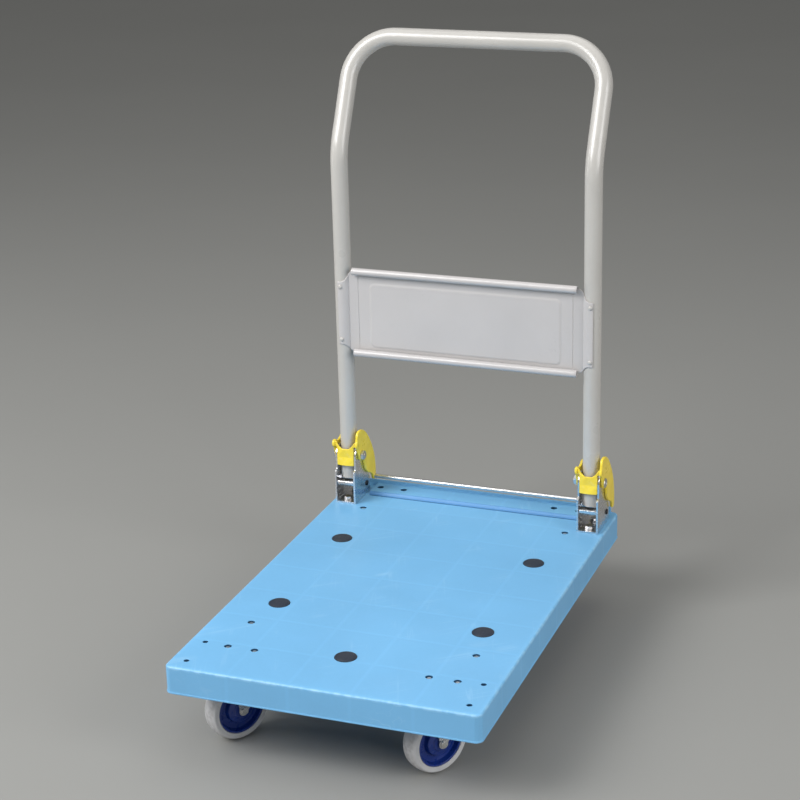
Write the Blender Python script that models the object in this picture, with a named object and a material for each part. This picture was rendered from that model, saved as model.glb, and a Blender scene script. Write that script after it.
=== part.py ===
"""Folding platform cart: a moulded deck on four casters with a tubular handle that folds flat.

Metres, +Z up.  The origin is on the floor under the middle of the whole cart's length and width.
The front of the deck faces -Y, the folding handle stands at the rear (+Y), +X is the right side.
"""
import math

import bmesh
import bpy
from mathutils import Matrix, Vector

# ---------------------------------------------------------------- driving dimensions
GAP = 0.0003                    # clearance between pieces that touch

DECK_WIDTH = 0.484
DECK_LENGTH = 0.740
DECK_TOP = 0.155
DECK_DEPTH = 0.0440
DECK_SKIN = 0.0045
DECK_WALL = 0.0045
DECK_CORNER = 0.011
DECK_EDGE = 0.0035
RIB_THICKNESS = 0.003
RIB_COLUMNS = 4
RIB_ROWS = 7
STRIP_HALF_WIDTH = 0.190
STRIP_DEPTH = 0.050
STRIP_RISE = 0.005
LIP_RISE = 0.0045
LIP_DEPTH = 0.005
LIP_HALF_WIDTH = 0.229

PAD_RADIUS = 0.0168
PAD_PROUD = 0.0008
PAD_RECESS = 0.0023
PAD_PLACES = [(0.165, 0.500), (-0.165, 0.500), (0.165, 0.243), (-0.165, 0.243), (0.0, 0.107)]

TUBE_RADIUS = 0.0143
TUBE_WALL = 0.0016
LEG_X = 0.2145
LEG_FROM_FRONT = 0.663
GRIP_FROM_FRONT = 0.748
GRIP_Z = 0.9415
KINK_Z = 0.770
GRIP_CORNER = 0.073
KINK_CORNER = 0.110
PIVOT_Z = 0.238
TUBE_BELOW_PIVOT = 0.040

PANEL_FORWARD = 0.008
PANEL_LOW_Z = 0.422
PANEL_HIGH_Z = 0.5745
PANEL_HALF_WIDTH = 0.1985
PANEL_SHEET = 0.0012
CURL_RADIUS = 0.0056
TAB_LOW_Z = 0.441
TAB_HIGH_Z = 0.5495
TAB_PAST_FRONT = 18.0
RIVET_Z = [0.4495, 0.541]
RIVET_SHANK = 0.0016
RIVET_HEAD = 0.0034

CHEEK_INNER = 0.0153
CHEEK_THICKNESS = 0.0030
LOBE_RADIUS = 0.018
BASE_THICKNESS = 0.003
BOLT_SHANK = 0.0048
BOLT_HOLE = 0.0052
BASE_BOLT_SHANK = 0.004
BASE_BOLT_Y = [-0.0115, 0.024]
BASE_BOLT_LENGTH = 0.020

PEDAL_INNER = 0.0186
PEDAL_THICKNESS = 0.0045
PEDAL_BAND_HALF = 0.0150
PEDAL_BAND_BACK = -0.0178
PEDAL_BAND_SHEET = 0.003
ROD_RADIUS = 0.0036
ROD_PLACE = (0.0565, -0.0600)
ROD_HALF_LENGTH = 0.1957

PAWL_PIN_PLACE = (0.030, -0.064)
PAWL_PIN_RADIUS = 0.0025
PAWL_HALF_WIDTH = 0.005

WHEEL_RADIUS = 0.050
TYRE_WIDTH = 0.030
CORE_RADIUS = 0.0384
HUB_HALF_WIDTH = 0.017
AXLE_RADIUS = 0.004
AXLE_HOLE = 0.00435
CASTER_X = 0.1575
FRONT_CASTER_FROM_FRONT = 0.128
REAR_CASTER_FROM_FRONT = 0.6725
CASTER_TRAIL = 0.035
CASTER_TURN = -33.0
PLATE_TOP = 0.1222
PLATE_THICKNESS = 0.0028
STUD_X = 0.0215
STUD_Y = 0.0415
STUD_RADIUS = 0.004
STUD_HOLE = 0.0056
STUD_TOP = 0.1528
FORK_INNER = 0.018
FORK_SHEET = 0.0022
FORK_END_RADIUS = 0.0064
SWIVEL_CROWN_TOP = 0.1082

# ---------------------------------------------------------------- derived dimensions
OVERALL_LENGTH = GRIP_FROM_FRONT + TUBE_RADIUS
DECK_FRONT_Y = -OVERALL_LENGTH / 2
DECK_REAR_Y = DECK_FRONT_Y + DECK_LENGTH
DECK_BOTTOM = DECK_TOP - DECK_DEPTH
PIVOT_Y = DECK_FRONT_Y + LEG_FROM_FRONT
PEDAL_OUTER = PEDAL_INNER + PEDAL_THICKNESS
CHEEK_OUTER = CHEEK_INNER + CHEEK_THICKNESS
BOSS_BOTTOM = PLATE_TOP + GAP
RIB_LOW = BOSS_BOTTOM + 0.0035

# ---------------------------------------------------------------- scene helpers


def clear_scene():
    for old in list(bpy.data.objects):
        bpy.data.objects.remove(old, do_unlink=True)


def make_material(name, colour, roughness, metallic):
    material = bpy.data.materials.new(name)
    material.use_nodes = True
    shader = material.node_tree.nodes["Principled BSDF"]
    shader.inputs["Base Color"].default_value = (*colour, 1.0)
    shader.inputs["Roughness"].default_value = roughness
    shader.inputs["Metallic"].default_value = metallic
    material.diffuse_color = (*colour, 1.0)
    return material


def make_materials():
    return {
        "deck": make_material("deck_plastic", (0.21, 0.50, 0.83), 0.42, 0.0),
        "pad": make_material("pad_rubber", (0.030, 0.024, 0.024), 0.75, 0.0),
        "handle": make_material("handle_paint", (0.56, 0.56, 0.57), 0.38, 0.0),
        "panel": make_material("panel_paint", (0.54, 0.54, 0.55), 0.42, 0.0),
        "chrome": make_material("bracket_plating", (0.78, 0.78, 0.80), 0.12, 1.0),
        "zinc": make_material("zinc_plating", (0.70, 0.71, 0.73), 0.30, 1.0),
        "black_steel": make_material("black_steel", (0.03, 0.03, 0.035), 0.40, 0.8),
        "pedal": make_material("pedal_plastic", (0.83, 0.66, 0.06), 0.40, 0.0),
        "tyre": make_material("tyre_elastomer", (0.42, 0.43, 0.45), 0.60, 0.0),
        "core": make_material("wheel_core_plastic", (0.010, 0.035, 0.27), 0.35, 0.0),
    }


def add_empty(name, location, parent=None):
    empty = bpy.data.objects.new(name, None)
    bpy.context.collection.objects.link(empty)
    empty.location = location
    empty.parent = parent
    return empty


def add_object(name, mesh, material, location=(0.0, 0.0, 0.0), parent=None):
    thing = bpy.data.objects.new(name, mesh)
    bpy.context.collection.objects.link(thing)
    if not mesh.materials:
        mesh.materials.append(material)
    thing.location = location
    thing.parent = parent
    return thing


def finish_mesh(name, work):
    bmesh.ops.recalc_face_normals(work, faces=work.faces)
    mesh = bpy.data.meshes.new(name)
    work.to_mesh(mesh)
    work.free()
    return mesh


def smooth(mesh, angle=35.0):
    mesh.shade_smooth()
    mesh.set_sharp_from_angle(angle=math.radians(angle))
    return mesh


def combined(mesh, tools, operation):
    """The mesh after one Boolean with each tool mesh in turn; the tools are used up."""
    target = bpy.data.objects.new("target", mesh)
    bpy.context.collection.objects.link(target)
    for tool_mesh in tools:
        tool = bpy.data.objects.new("tool", tool_mesh)
        bpy.context.collection.objects.link(tool)
        modifier = target.modifiers.new("combine", "BOOLEAN")
        modifier.solver = "EXACT"
        modifier.operation = operation
        modifier.object = tool
        graph = bpy.context.evaluated_depsgraph_get()
        target.data = bpy.data.meshes.new_from_object(target.evaluated_get(graph))
        target.modifiers.clear()
        bpy.data.objects.remove(tool)
    result = target.data
    bpy.data.objects.remove(target)
    return result


def union(mesh, tools):
    return combined(mesh, tools, "UNION")


def cut(mesh, tools):
    return combined(mesh, tools, "DIFFERENCE")


# ---------------------------------------------------------------- shape helpers


def on_axis(axis, a, b, along):
    """A point whose first two values lie across the axis, in X, Y, Z order."""
    if axis == "X":
        return Vector((along, a, b))
    if axis == "Y":
        return Vector((a, along, b))
    return Vector((a, b, along))


def prism(outline, axis, low, high):
    """A closed solid with one outline, running from low to high along an axis."""
    work = bmesh.new()
    bottom = [work.verts.new(on_axis(axis, a, b, low)) for a, b in outline]
    top = [work.verts.new(on_axis(axis, a, b, high)) for a, b in outline]
    work.faces.new(bottom)
    work.faces.new(top)
    for index in range(len(outline)):
        after = (index + 1) % len(outline)
        work.faces.new((bottom[index], bottom[after], top[after], top[index]))
    return finish_mesh("prism", work)


def block(low, high):
    outline = [(low[0], low[1]), (high[0], low[1]), (high[0], high[1]), (low[0], high[1])]
    return prism(outline, "Z", low[2], high[2])


def arc(centre, radius, start, end, steps):
    """Points on a circle from one angle to another, in degrees."""
    points = []
    for step in range(steps + 1):
        angle = math.radians(start + (end - start) * step / steps)
        points.append((centre[0] + radius * math.cos(angle), centre[1] + radius * math.sin(angle)))
    return points


def circle(centre, radius, sides, phase=0.0):
    return arc(centre, radius, phase, phase + 360.0 - 360.0 / sides, sides - 1)


def rod(axis, centre, radius, low, high, sides=12, phase=0.0):
    return prism(circle(centre, radius, sides, phase), axis, low, high)


def rounded_rectangle(half_width, low, high, radius, steps=4):
    outline = arc((half_width - radius, low + radius), radius, -90, 0, steps)
    outline += arc((half_width - radius, high - radius), radius, 0, 90, steps)
    outline += arc((radius - half_width, high - radius), radius, 90, 180, steps)
    outline += arc((radius - half_width, low + radius), radius, 180, 270, steps)
    return outline


def ribbon(points, thickness):
    """The outline of a sheet of even thickness whose middle follows an open line."""
    left = []
    right = []
    for index, point in enumerate(points):
        here = Vector(point)
        before = Vector(points[max(index - 1, 0)])
        after = Vector(points[min(index + 1, len(points) - 1)])
        arriving = (here - before).normalized() if index else (after - here).normalized()
        leaving = (after - here).normalized() if index < len(points) - 1 else arriving
        across = Vector((-(arriving + leaving).y, (arriving + leaving).x)).normalized()
        normal = Vector((-arriving.y, arriving.x))
        reach = thickness / 2 / max(across.dot(normal), 0.5)
        left.append(tuple(here + across * reach))
        right.append(tuple(here - across * reach))
    return left + right[::-1]


def turned(profile, steps, axis="X", solid=True):
    """A profile of (radius, along) points turned round an axis; solid closes its two ends."""
    work = bmesh.new()
    rings = []
    for radius, along in profile:
        ring = []
        for step in range(steps):
            angle = 2 * math.pi * step / steps
            ring.append(work.verts.new(on_axis(axis, radius * math.cos(angle), radius * math.sin(angle), along)))
        rings.append(ring)
    pairs = list(zip(rings, rings[1:]))
    if solid:
        work.faces.new(rings[0])
        work.faces.new(rings[-1])
    else:
        pairs.append((rings[-1], rings[0]))
    for first, second in pairs:
        for step in range(steps):
            after = (step + 1) % steps
            work.faces.new((first[step], first[after], second[after], second[step]))
    return finish_mesh("turned", work)


def filleted(points, radii, steps):
    """A path through corner points, each corner replaced by an arc of its own radius."""
    path = [Vector(points[0])]
    for index in range(1, len(points) - 1):
        corner = Vector(points[index])
        to_last = (Vector(points[index - 1]) - corner).normalized()
        to_next = (Vector(points[index + 1]) - corner).normalized()
        half_angle = to_last.angle(to_next) / 2
        radius = radii[index - 1]
        middle = corner + (to_last + to_next).normalized() * (radius / math.sin(half_angle))
        start = corner + to_last * (radius / math.tan(half_angle))
        turn_axis = (start - middle).cross(corner + to_next - middle).normalized()
        turn = math.pi - 2 * half_angle
        for step in range(steps + 1):
            spoke = Matrix.Rotation(turn * step / steps, 4, turn_axis) @ (start - middle)
            path.append(middle + spoke)
    path.append(Vector(points[-1]))
    return path


def swept_rings(work, path, radius, sides, side_axis):
    """Rings of vertices along a path; the first vertex of each ring starts from side_axis."""
    rings = []
    reference = Vector(side_axis)
    for index, point in enumerate(path):
        before = path[max(index - 1, 0)]
        after = path[min(index + 1, len(path) - 1)]
        tangent = ((after - point).normalized() + (point - before).normalized()).normalized()
        reference = (reference - tangent * reference.dot(tangent)).normalized()
        other = tangent.cross(reference)
        ring = []
        for side in range(sides):
            angle = 2 * math.pi * side / sides
            offset = reference * (radius * math.cos(angle)) + other * (radius * math.sin(angle))
            ring.append(work.verts.new(point + offset))
        rings.append(ring)
    return rings


def bridge(work, first, second):
    sides = len(first)
    for side in range(sides):
        after = (side + 1) % sides
        work.faces.new((first[side], first[after], second[after], second[side]))


def hollow_tube(path, outer, inner, sides, side_axis):
    """A bent tube with a real bore, open at both ends."""
    work = bmesh.new()
    outside = swept_rings(work, path, outer, sides, side_axis)
    inside = swept_rings(work, path, inner, sides, side_axis)
    for rings in (outside, inside):
        for first, second in zip(rings, rings[1:]):
            bridge(work, first, second)
    for end in (0, -1):
        bridge(work, outside[end], inside[end])
    return finish_mesh("tube", work)


def solid_wire(path, radius, sides, side_axis):
    work = bmesh.new()
    rings = swept_rings(work, path, radius, sides, side_axis)
    for first, second in zip(rings, rings[1:]):
        bridge(work, first, second)
    work.faces.new(rings[0])
    work.faces.new(rings[-1])
    return finish_mesh("wire", work)


def hex_nut(axis, centre, across_flats, hole, low, high):
    nut = rod(axis, centre, across_flats / math.sqrt(3), low, high, sides=6, phase=30.0)
    margin = 0.002
    return cut(nut, [rod(axis, centre, hole, low - margin, high + margin)])


def hex_bolt(axis, across_flats, shank, head_low, head_high, end):
    """A bolt on the axis through the origin; the shank runs from the head to end."""
    head = rod(axis, (0.0, 0.0), across_flats / math.sqrt(3), head_low, head_high, sides=6, phase=30.0)
    middle = (head_low + head_high) / 2
    stem = rod(axis, (0.0, 0.0), shank, min(middle, end), max(middle, end))
    return union(head, [stem])


# ---------------------------------------------------------------- deck


def caster_places():
    """Name, place and whether it swivels, for each caster."""
    places = []
    for end, from_front, swivels in (("front", FRONT_CASTER_FROM_FRONT, True),
                                     ("rear", REAR_CASTER_FROM_FRONT, False)):
        for side, sign in (("left", -1), ("right", 1)):
            place = Vector((sign * CASTER_X, DECK_FRONT_Y + from_front, 0.0))
            places.append((f"{end}_{side}", place, swivels))
    return places


def stud_places(place):
    """The three fixing points of a caster: two towards the deck's end, one on the outer side."""
    outward = math.copysign(1, place.x)
    endward = math.copysign(1, place.y)
    return [
        (place.x - outward * STUD_X, place.y + endward * STUD_Y),
        (place.x + outward * STUD_X, place.y + endward * STUD_Y),
        (place.x + outward * STUD_X, place.y - endward * STUD_Y),
    ]


def deck_shell():
    outline = rounded_rectangle(DECK_WIDTH / 2, DECK_FRONT_Y, DECK_REAR_Y, DECK_CORNER)
    mesh = prism(outline, "Z", DECK_BOTTOM, DECK_TOP)
    work = bmesh.new()
    work.from_mesh(mesh)
    rim = [edge for edge in work.edges if all(vert.co.z > DECK_TOP - GAP for vert in edge.verts)]
    bmesh.ops.bevel(work, geom=rim, offset=DECK_EDGE, segments=2, affect="EDGES", profile=0.5)
    return finish_mesh("deck", work)


def deck_underside_pockets():
    """The hollow under the skin, less the ribs, the caster blocks and the bracket blocks."""
    half = DECK_WIDTH / 2 - DECK_WALL
    front = DECK_FRONT_Y + DECK_WALL
    rear = DECK_REAR_Y - DECK_WALL
    top = DECK_TOP - DECK_SKIN
    low = DECK_BOTTOM - 0.005
    over = top + 0.005
    hollow = prism(rounded_rectangle(half, front, rear, DECK_CORNER - DECK_WALL), "Z", low, top)
    solids = []
    for column in range(1, RIB_COLUMNS + 1):
        x = -half + 2 * half * column / (RIB_COLUMNS + 1)
        solids.append(block((x - RIB_THICKNESS / 2, front - 0.01, RIB_LOW),
                            (x + RIB_THICKNESS / 2, rear + 0.01, over)))
    for row in range(1, RIB_ROWS + 1):
        y = front + (rear - front) * row / (RIB_ROWS + 1)
        solids.append(block((-half - 0.01, y - RIB_THICKNESS / 2, RIB_LOW),
                            (half + 0.01, y + RIB_THICKNESS / 2, over)))
    for _, place, _ in caster_places():
        solids.append(block((place.x - 0.052, place.y - 0.062, BOSS_BOTTOM),
                            (place.x + 0.052, place.y + 0.062, over + 0.001)))
    for side in (-1, 1):
        solids.append(block((side * LEG_X - 0.019, PIVOT_Y - 0.028, BOSS_BOTTOM + 0.003),
                            (side * LEG_X + 0.019, PIVOT_Y + 0.045, over + 0.002)))
    return cut(hollow, solids)


def deck_rear_strip():
    """The raised band between the two brackets, along the rear edge."""
    front = DECK_REAR_Y - STRIP_DEPTH
    rear = DECK_REAR_Y - GAP
    inside = DECK_TOP - 0.002
    top = DECK_TOP + STRIP_RISE
    outline = [(front, inside), (rear, inside), (rear, top - 0.002), (rear - 0.002, top), (front + 0.003, top)]
    return prism(outline, "X", -STRIP_HALF_WIDTH, STRIP_HALF_WIDTH)


def deck_rear_lip():
    """The low upstand along the rear edge of the raised band."""
    rear = DECK_REAR_Y - 2 * GAP
    front = rear - LIP_DEPTH
    inside = DECK_TOP - 0.001
    top = DECK_TOP + STRIP_RISE + LIP_RISE
    outline = [(front - 0.002, inside), (rear, inside), (rear, top - 0.0015), (rear - 0.0015, top),
               (front + 0.001, top)]
    return prism(outline, "X", -LIP_HALF_WIDTH, LIP_HALF_WIDTH)


def deck_holes():
    tools = []
    above = DECK_TOP + STRIP_RISE + 0.005
    for x, from_front in PAD_PLACES:
        tools.append(rod("Z", (x, DECK_FRONT_Y + from_front), PAD_RADIUS, DECK_TOP - PAD_RECESS, above, sides=20))
    for _, place, _ in caster_places():
        for spot in stud_places(place):
            tools.append(rod("Z", spot, STUD_HOLE, BOSS_BOTTOM - 0.005, above))
    for side in (-1, 1):
        for from_front in (0.026, 0.089):
            spot = (side * 0.217, DECK_FRONT_Y + from_front)
            tools.append(rod("Z", spot, 0.0042, DECK_TOP - 0.02, above, sides=12))
        for y in BASE_BOLT_Y:
            spot = (side * LEG_X, PIVOT_Y + y)
            tools.append(rod("Z", spot, BASE_BOLT_SHANK + GAP, DECK_TOP - BASE_BOLT_LENGTH, above))
    return tools


def make_deck(materials):
    mesh = cut(deck_shell(), [deck_underside_pockets()])
    mesh = union(mesh, [deck_rear_strip(), deck_rear_lip()])
    mesh = cut(mesh, deck_holes())
    add_object("deck", smooth(mesh), materials["deck"])


def make_deck_pads(materials):
    low = DECK_TOP - PAD_RECESS + GAP
    high = DECK_TOP + PAD_PROUD
    radius = PAD_RADIUS - GAP
    profile = [(radius, low), (radius, high - 0.0004), (radius - 0.0006, high)]
    mesh = smooth(turned(profile, 20, axis="Z"))
    for number, (x, from_front) in enumerate(PAD_PLACES, start=1):
        add_object(f"deck_pad_{number}", mesh, materials["pad"], (x, DECK_FRONT_Y + from_front, 0.0))


# ---------------------------------------------------------------- handle


def handle_path():
    """The middle line of the tube from the left leg's foot to the right leg's foot, from the pivot."""
    foot = -TUBE_BELOW_PIVOT
    kink = KINK_Z - PIVOT_Z
    grip_y = GRIP_FROM_FRONT - LEG_FROM_FRONT
    grip_z = GRIP_Z - PIVOT_Z
    corners = [(-LEG_X, 0.0, foot), (-LEG_X, 0.0, kink), (-LEG_X, grip_y, grip_z),
               (LEG_X, grip_y, grip_z), (LEG_X, 0.0, kink), (LEG_X, 0.0, foot)]
    return filleted(corners, [KINK_CORNER, GRIP_CORNER, GRIP_CORNER, KINK_CORNER], 5)


def make_handle_tube(materials, parent):
    mesh = hollow_tube(handle_path(), TUBE_RADIUS, TUBE_RADIUS - TUBE_WALL, 12, (1.0, 0.0, 0.0))
    tools = []
    for side in (-1, 1):
        tools.append(rod("X", (0.0, 0.0), BOLT_HOLE, side * LEG_X - 0.02, side * LEG_X + 0.02))
        for height in RIVET_Z:
            spot = (side * LEG_X, height - PIVOT_Z)
            tools.append(rod("Y", spot, RIVET_SHANK + GAP, -TUBE_RADIUS - 0.003, 0.0, sides=10))
    mesh = cut(mesh, tools)
    add_object("handle_tube", smooth(mesh), materials["handle"], parent=parent)


def panel_section():
    """The pressed sheet from the side: flat, with its top and bottom edges rolled forward."""
    low = PANEL_LOW_Z - PIVOT_Z + CURL_RADIUS
    high = PANEL_HIGH_Z - PIVOT_Z - CURL_RADIUS
    roll = -PANEL_FORWARD - CURL_RADIUS
    bottom = arc((roll, low), CURL_RADIUS, -290, 0, 7)
    top = arc((roll, high), CURL_RADIUS, 0, 290, 7)
    return ribbon(bottom + top, PANEL_SHEET)


def panel_tab(side):
    """The end of the sheet seen from above: it runs up to the tube and wraps round its front."""
    wrap = TUBE_RADIUS + GAP + PANEL_SHEET / 2
    start = 180 + math.degrees(math.asin(PANEL_FORWARD / wrap))
    points = [(PANEL_HALF_WIDTH - 0.006, -PANEL_FORWARD)]
    points += arc((LEG_X, 0.0), wrap, start, 270 + TAB_PAST_FRONT, 7)
    outline = [(side * x, y) for x, y in ribbon(points, PANEL_SHEET)]
    return prism(outline, "Z", TAB_LOW_Z - PIVOT_Z, TAB_HIGH_Z - PIVOT_Z)


def make_handle_panel(materials, parent):
    mesh = prism(panel_section(), "X", -PANEL_HALF_WIDTH, PANEL_HALF_WIDTH)
    mesh = union(mesh, [panel_tab(-1), panel_tab(1)])
    tools = []
    for side in (-1, 1):
        for height in RIVET_Z:
            spot = (side * LEG_X, height - PIVOT_Z)
            tools.append(rod("Y", spot, RIVET_SHANK + GAP, -TUBE_RADIUS - 0.005, -TUBE_RADIUS + 0.002, sides=10))
    mesh = cut(mesh, tools)
    add_object("handle_panel", smooth(mesh), materials["panel"], parent=parent)


def make_panel_rivets(materials, parent):
    face = -(TUBE_RADIUS + GAP + PANEL_SHEET + GAP)
    profile = [(RIVET_SHANK, face + 0.006), (RIVET_SHANK, face), (RIVET_HEAD, face),
               (RIVET_HEAD * 0.85, face - 0.0010), (RIVET_HEAD * 0.45, face - 0.0017)]
    mesh = smooth(turned(profile, 10, axis="Y"))
    for side, sign in (("left", -1), ("right", 1)):
        for level, height in zip(("lower", "upper"), RIVET_Z):
            place = (sign * LEG_X, 0.0, height - PIVOT_Z)
            add_object(f"panel_rivet_{side}_{level}", mesh, materials["handle"], place, parent)


# ---------------------------------------------------------------- hinge brackets


def cheek_outline():
    """One bracket cheek from the side, from the pivot: a round lobe on a wider foot."""
    foot = DECK_TOP + GAP - PIVOT_Z
    outline = [(-0.0245, foot), (-0.0245, -0.0255), (-0.0228, -0.0238), (-0.018, -0.0218)]
    outline += arc((0.0, 0.0), LOBE_RADIUS, 180, 0, 10)
    outline += [(0.0215, -0.018), (0.031, -0.040), (0.0400, -0.0500), (0.0440, -0.0580), (0.0440, foot)]
    return outline


def bracket_mesh():
    foot = DECK_TOP + GAP - PIVOT_Z
    base = block((-CHEEK_INNER - 0.001, -0.0245, foot), (CHEEK_INNER + 0.001, 0.0440, foot + BASE_THICKNESS))
    left = prism(cheek_outline(), "X", -CHEEK_OUTER, -CHEEK_INNER)
    right = prism(cheek_outline(), "X", CHEEK_INNER, CHEEK_OUTER)
    reach = CHEEK_OUTER + 0.005
    tools = [rod("X", (0.0, 0.0), BOLT_HOLE, -reach, reach),
             rod("X", PAWL_PIN_PLACE, PAWL_PIN_RADIUS + GAP, -reach, reach, sides=12)]
    for y in BASE_BOLT_Y:
        tools.append(rod("Z", (0.0, y), BASE_BOLT_SHANK + GAP, foot - 0.005, foot + 0.01))
    return smooth(cut(union(base, [left, right]), tools))


def stop_bar_mesh():
    """The bar across the front of the bracket, under the foot of the tube."""
    outline = rounded_rectangle(CHEEK_INNER - GAP, -0.0230, -0.0070, 0.0015, steps=1)
    return prism(outline, "Z", -0.0490, -0.0431)


def base_bolt_mesh():
    low = DECK_TOP + GAP + BASE_THICKNESS + GAP
    return smooth(hex_bolt("Z", 0.013, BASE_BOLT_SHANK, low, low + 0.005, DECK_TOP - BASE_BOLT_LENGTH + 0.001))


def pivot_bolt_mesh(side):
    """A low domed bolt whose head is on the outer side of its bracket."""
    face = PEDAL_OUTER + GAP
    profile = [(BOLT_SHANK, -side * (face + 0.0062)), (BOLT_SHANK, side * face), (0.0080, side * face),
               (0.0080, side * (face + 0.0010)), (0.0062, side * (face + 0.0023))]
    return smooth(turned(profile, 12))


def pivot_nut_mesh(side):
    face = PEDAL_OUTER + GAP
    ends = sorted((-side * face, -side * (face + 0.0050)))
    return hex_nut("X", (0.0, 0.0), 0.015, BOLT_SHANK + GAP, ends[0], ends[1])


def make_brackets(materials):
    bracket = bracket_mesh()
    bar = stop_bar_mesh()
    bolt = base_bolt_mesh()
    for side, sign in (("left", -1), ("right", 1)):
        place = (sign * LEG_X, PIVOT_Y, PIVOT_Z)
        add_object(f"bracket_{side}", bracket, materials["chrome"], place)
        add_object(f"bracket_stop_bar_{side}", bar, materials["chrome"], place)
        for where, y in zip(("front", "rear"), BASE_BOLT_Y):
            spot = (sign * LEG_X, PIVOT_Y + y, 0.0)
            add_object(f"bracket_bolt_{side}_{where}", bolt, materials["zinc"], spot)
        add_object(f"pivot_bolt_{side}", pivot_bolt_mesh(sign), materials["zinc"], place)
        add_object(f"pivot_nut_{side}", pivot_nut_mesh(sign), materials["zinc"], place)


# ---------------------------------------------------------------- release pedals


def pedal_inner_edge():
    """The open side of a pedal cheek from its foot up to the boss and on to the band."""
    inner = [(0.0480, -0.0535), (0.0400, -0.0480), (0.0300, -0.0440), (0.0210, -0.0360), (0.0155, -0.0270),
             (0.0125, -0.0150)]
    boss = arc((0.0, 0.0), 0.0092, 200, 325, 7)
    return inner + boss[::-1] + [(-0.0125, 0.0080), (-0.0150, 0.0150)]


def pedal_lever_outline():
    """The tall cheek of the pedal from the pivot: a lobe that rises behind the tube and holds the rod."""
    outline = [(-0.0208, 0.0190), (-0.0208, 0.0250), (-0.0175, 0.0310), (-0.0160, 0.0400), (-0.0120, 0.0450),
               (-0.0040, 0.0465), (0.0080, 0.0440), (0.0200, 0.0370), (0.0330, 0.0240), (0.0460, 0.0060),
               (0.0560, -0.0130), (0.0610, -0.0300), (0.0630, -0.0480)]
    outline += arc(ROD_PLACE, 0.0060, 10, -130, 5)
    return outline + pedal_inner_edge()


def pedal_low_outline():
    """The low cheek of the pedal: an ear in front, a plain edge behind and the rod at its foot."""
    outline = [(-0.0208, 0.0190), (-0.0208, 0.0262), (-0.0185, 0.0290), (-0.0120, 0.0292), (-0.0075, 0.0262),
               (-0.0010, 0.0225), (0.0100, 0.0240), (0.0200, 0.0290), (0.0290, 0.0265), (0.0440, 0.0060),
               (0.0545, -0.0130), (0.0600, -0.0300), (0.0625, -0.0480)]
    outline += arc(ROD_PLACE, 0.0060, 10, -130, 5)
    return outline + pedal_inner_edge()


def pedal_front_band():
    """The band across the front of the tube: narrow between the cheeks, wide above them."""
    inner = PEDAL_BAND_HALF
    outer = PEDAL_OUTER
    outline = [(-inner, -0.0150), (inner, -0.0150), (inner, 0.0190), (outer, 0.0190), (outer, 0.0250),
               (outer - 0.0035, 0.0275), (0.0165, 0.0270), (0.0120, 0.0200), (0.0060, 0.0152), (-0.0060, 0.0152),
               (-0.0120, 0.0200), (-0.0165, 0.0270), (0.0035 - outer, 0.0275), (-outer, 0.0250), (-outer, 0.0190),
               (-inner, 0.0190)]
    return prism(outline, "Y", PEDAL_BAND_BACK - PEDAL_BAND_SHEET, PEDAL_BAND_BACK)


def pedal_tread():
    """The plate that the foot presses, joining the two sides behind the bracket."""
    middle = [(0.0290, 0.0235), (0.0425, 0.0050), (0.0525, -0.0140), (0.0573, -0.0300), (0.0590, -0.0470)]
    inner = PEDAL_INNER + 0.001
    return prism(ribbon(middle, 0.004), "X", -inner, inner)


def pedal_mesh():
    left = prism(pedal_low_outline(), "X", -PEDAL_OUTER, -PEDAL_INNER)
    right = prism(pedal_lever_outline(), "X", PEDAL_INNER, PEDAL_OUTER)
    mesh = union(pedal_tread(), [left, right, pedal_front_band()])
    reach = PEDAL_OUTER + 0.005
    tools = [rod("X", (0.0, 0.0), BOLT_HOLE, -reach, reach),
             rod("X", ROD_PLACE, ROD_RADIUS + GAP + 0.0001, -reach, reach, sides=12)]
    return smooth(cut(mesh, tools))


def make_pedals(materials, parent):
    mesh = pedal_mesh()
    for side, sign in (("left", -1), ("right", 1)):
        add_object(f"release_pedal_{side}", mesh, materials["pedal"], (sign * LEG_X, 0.0, 0.0), parent)
    bar = rod("X", ROD_PLACE, ROD_RADIUS, -ROD_HALF_LENGTH, ROD_HALF_LENGTH, sides=12)
    add_object("pedal_link_rod", smooth(bar), materials["zinc"], parent=parent)


def pawl_outline():
    """The latch pawl about its own pin: a foot round the pin and a nose that reaches up."""
    outline = arc((0.0, 0.0), 0.0062, 180, 360, 6)
    outline += [(0.0056, 0.0060), (0.0020, 0.0160), (-0.0030, 0.0225), (-0.0090, 0.0245), (-0.0112, 0.0225)]
    outline += [(-0.0080, 0.0150), (-0.0062, 0.0060)]
    return outline


def spring_path():
    """A return spring of three turns round the pawl's pin, with two straight ends."""
    turns = 3.0
    steps = 24
    radius = 0.0046
    start = PAWL_HALF_WIDTH + 0.0018
    length = 0.0062
    path = [Vector((start, radius, -0.0110))]
    for step in range(steps + 1):
        angle = -2 * math.pi * turns * step / steps
        along = start + length * step / steps
        path.append(Vector((along, radius * math.cos(angle), radius * math.sin(angle))))
    path.append(Vector((start + length, radius, 0.0110)))
    return path


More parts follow.
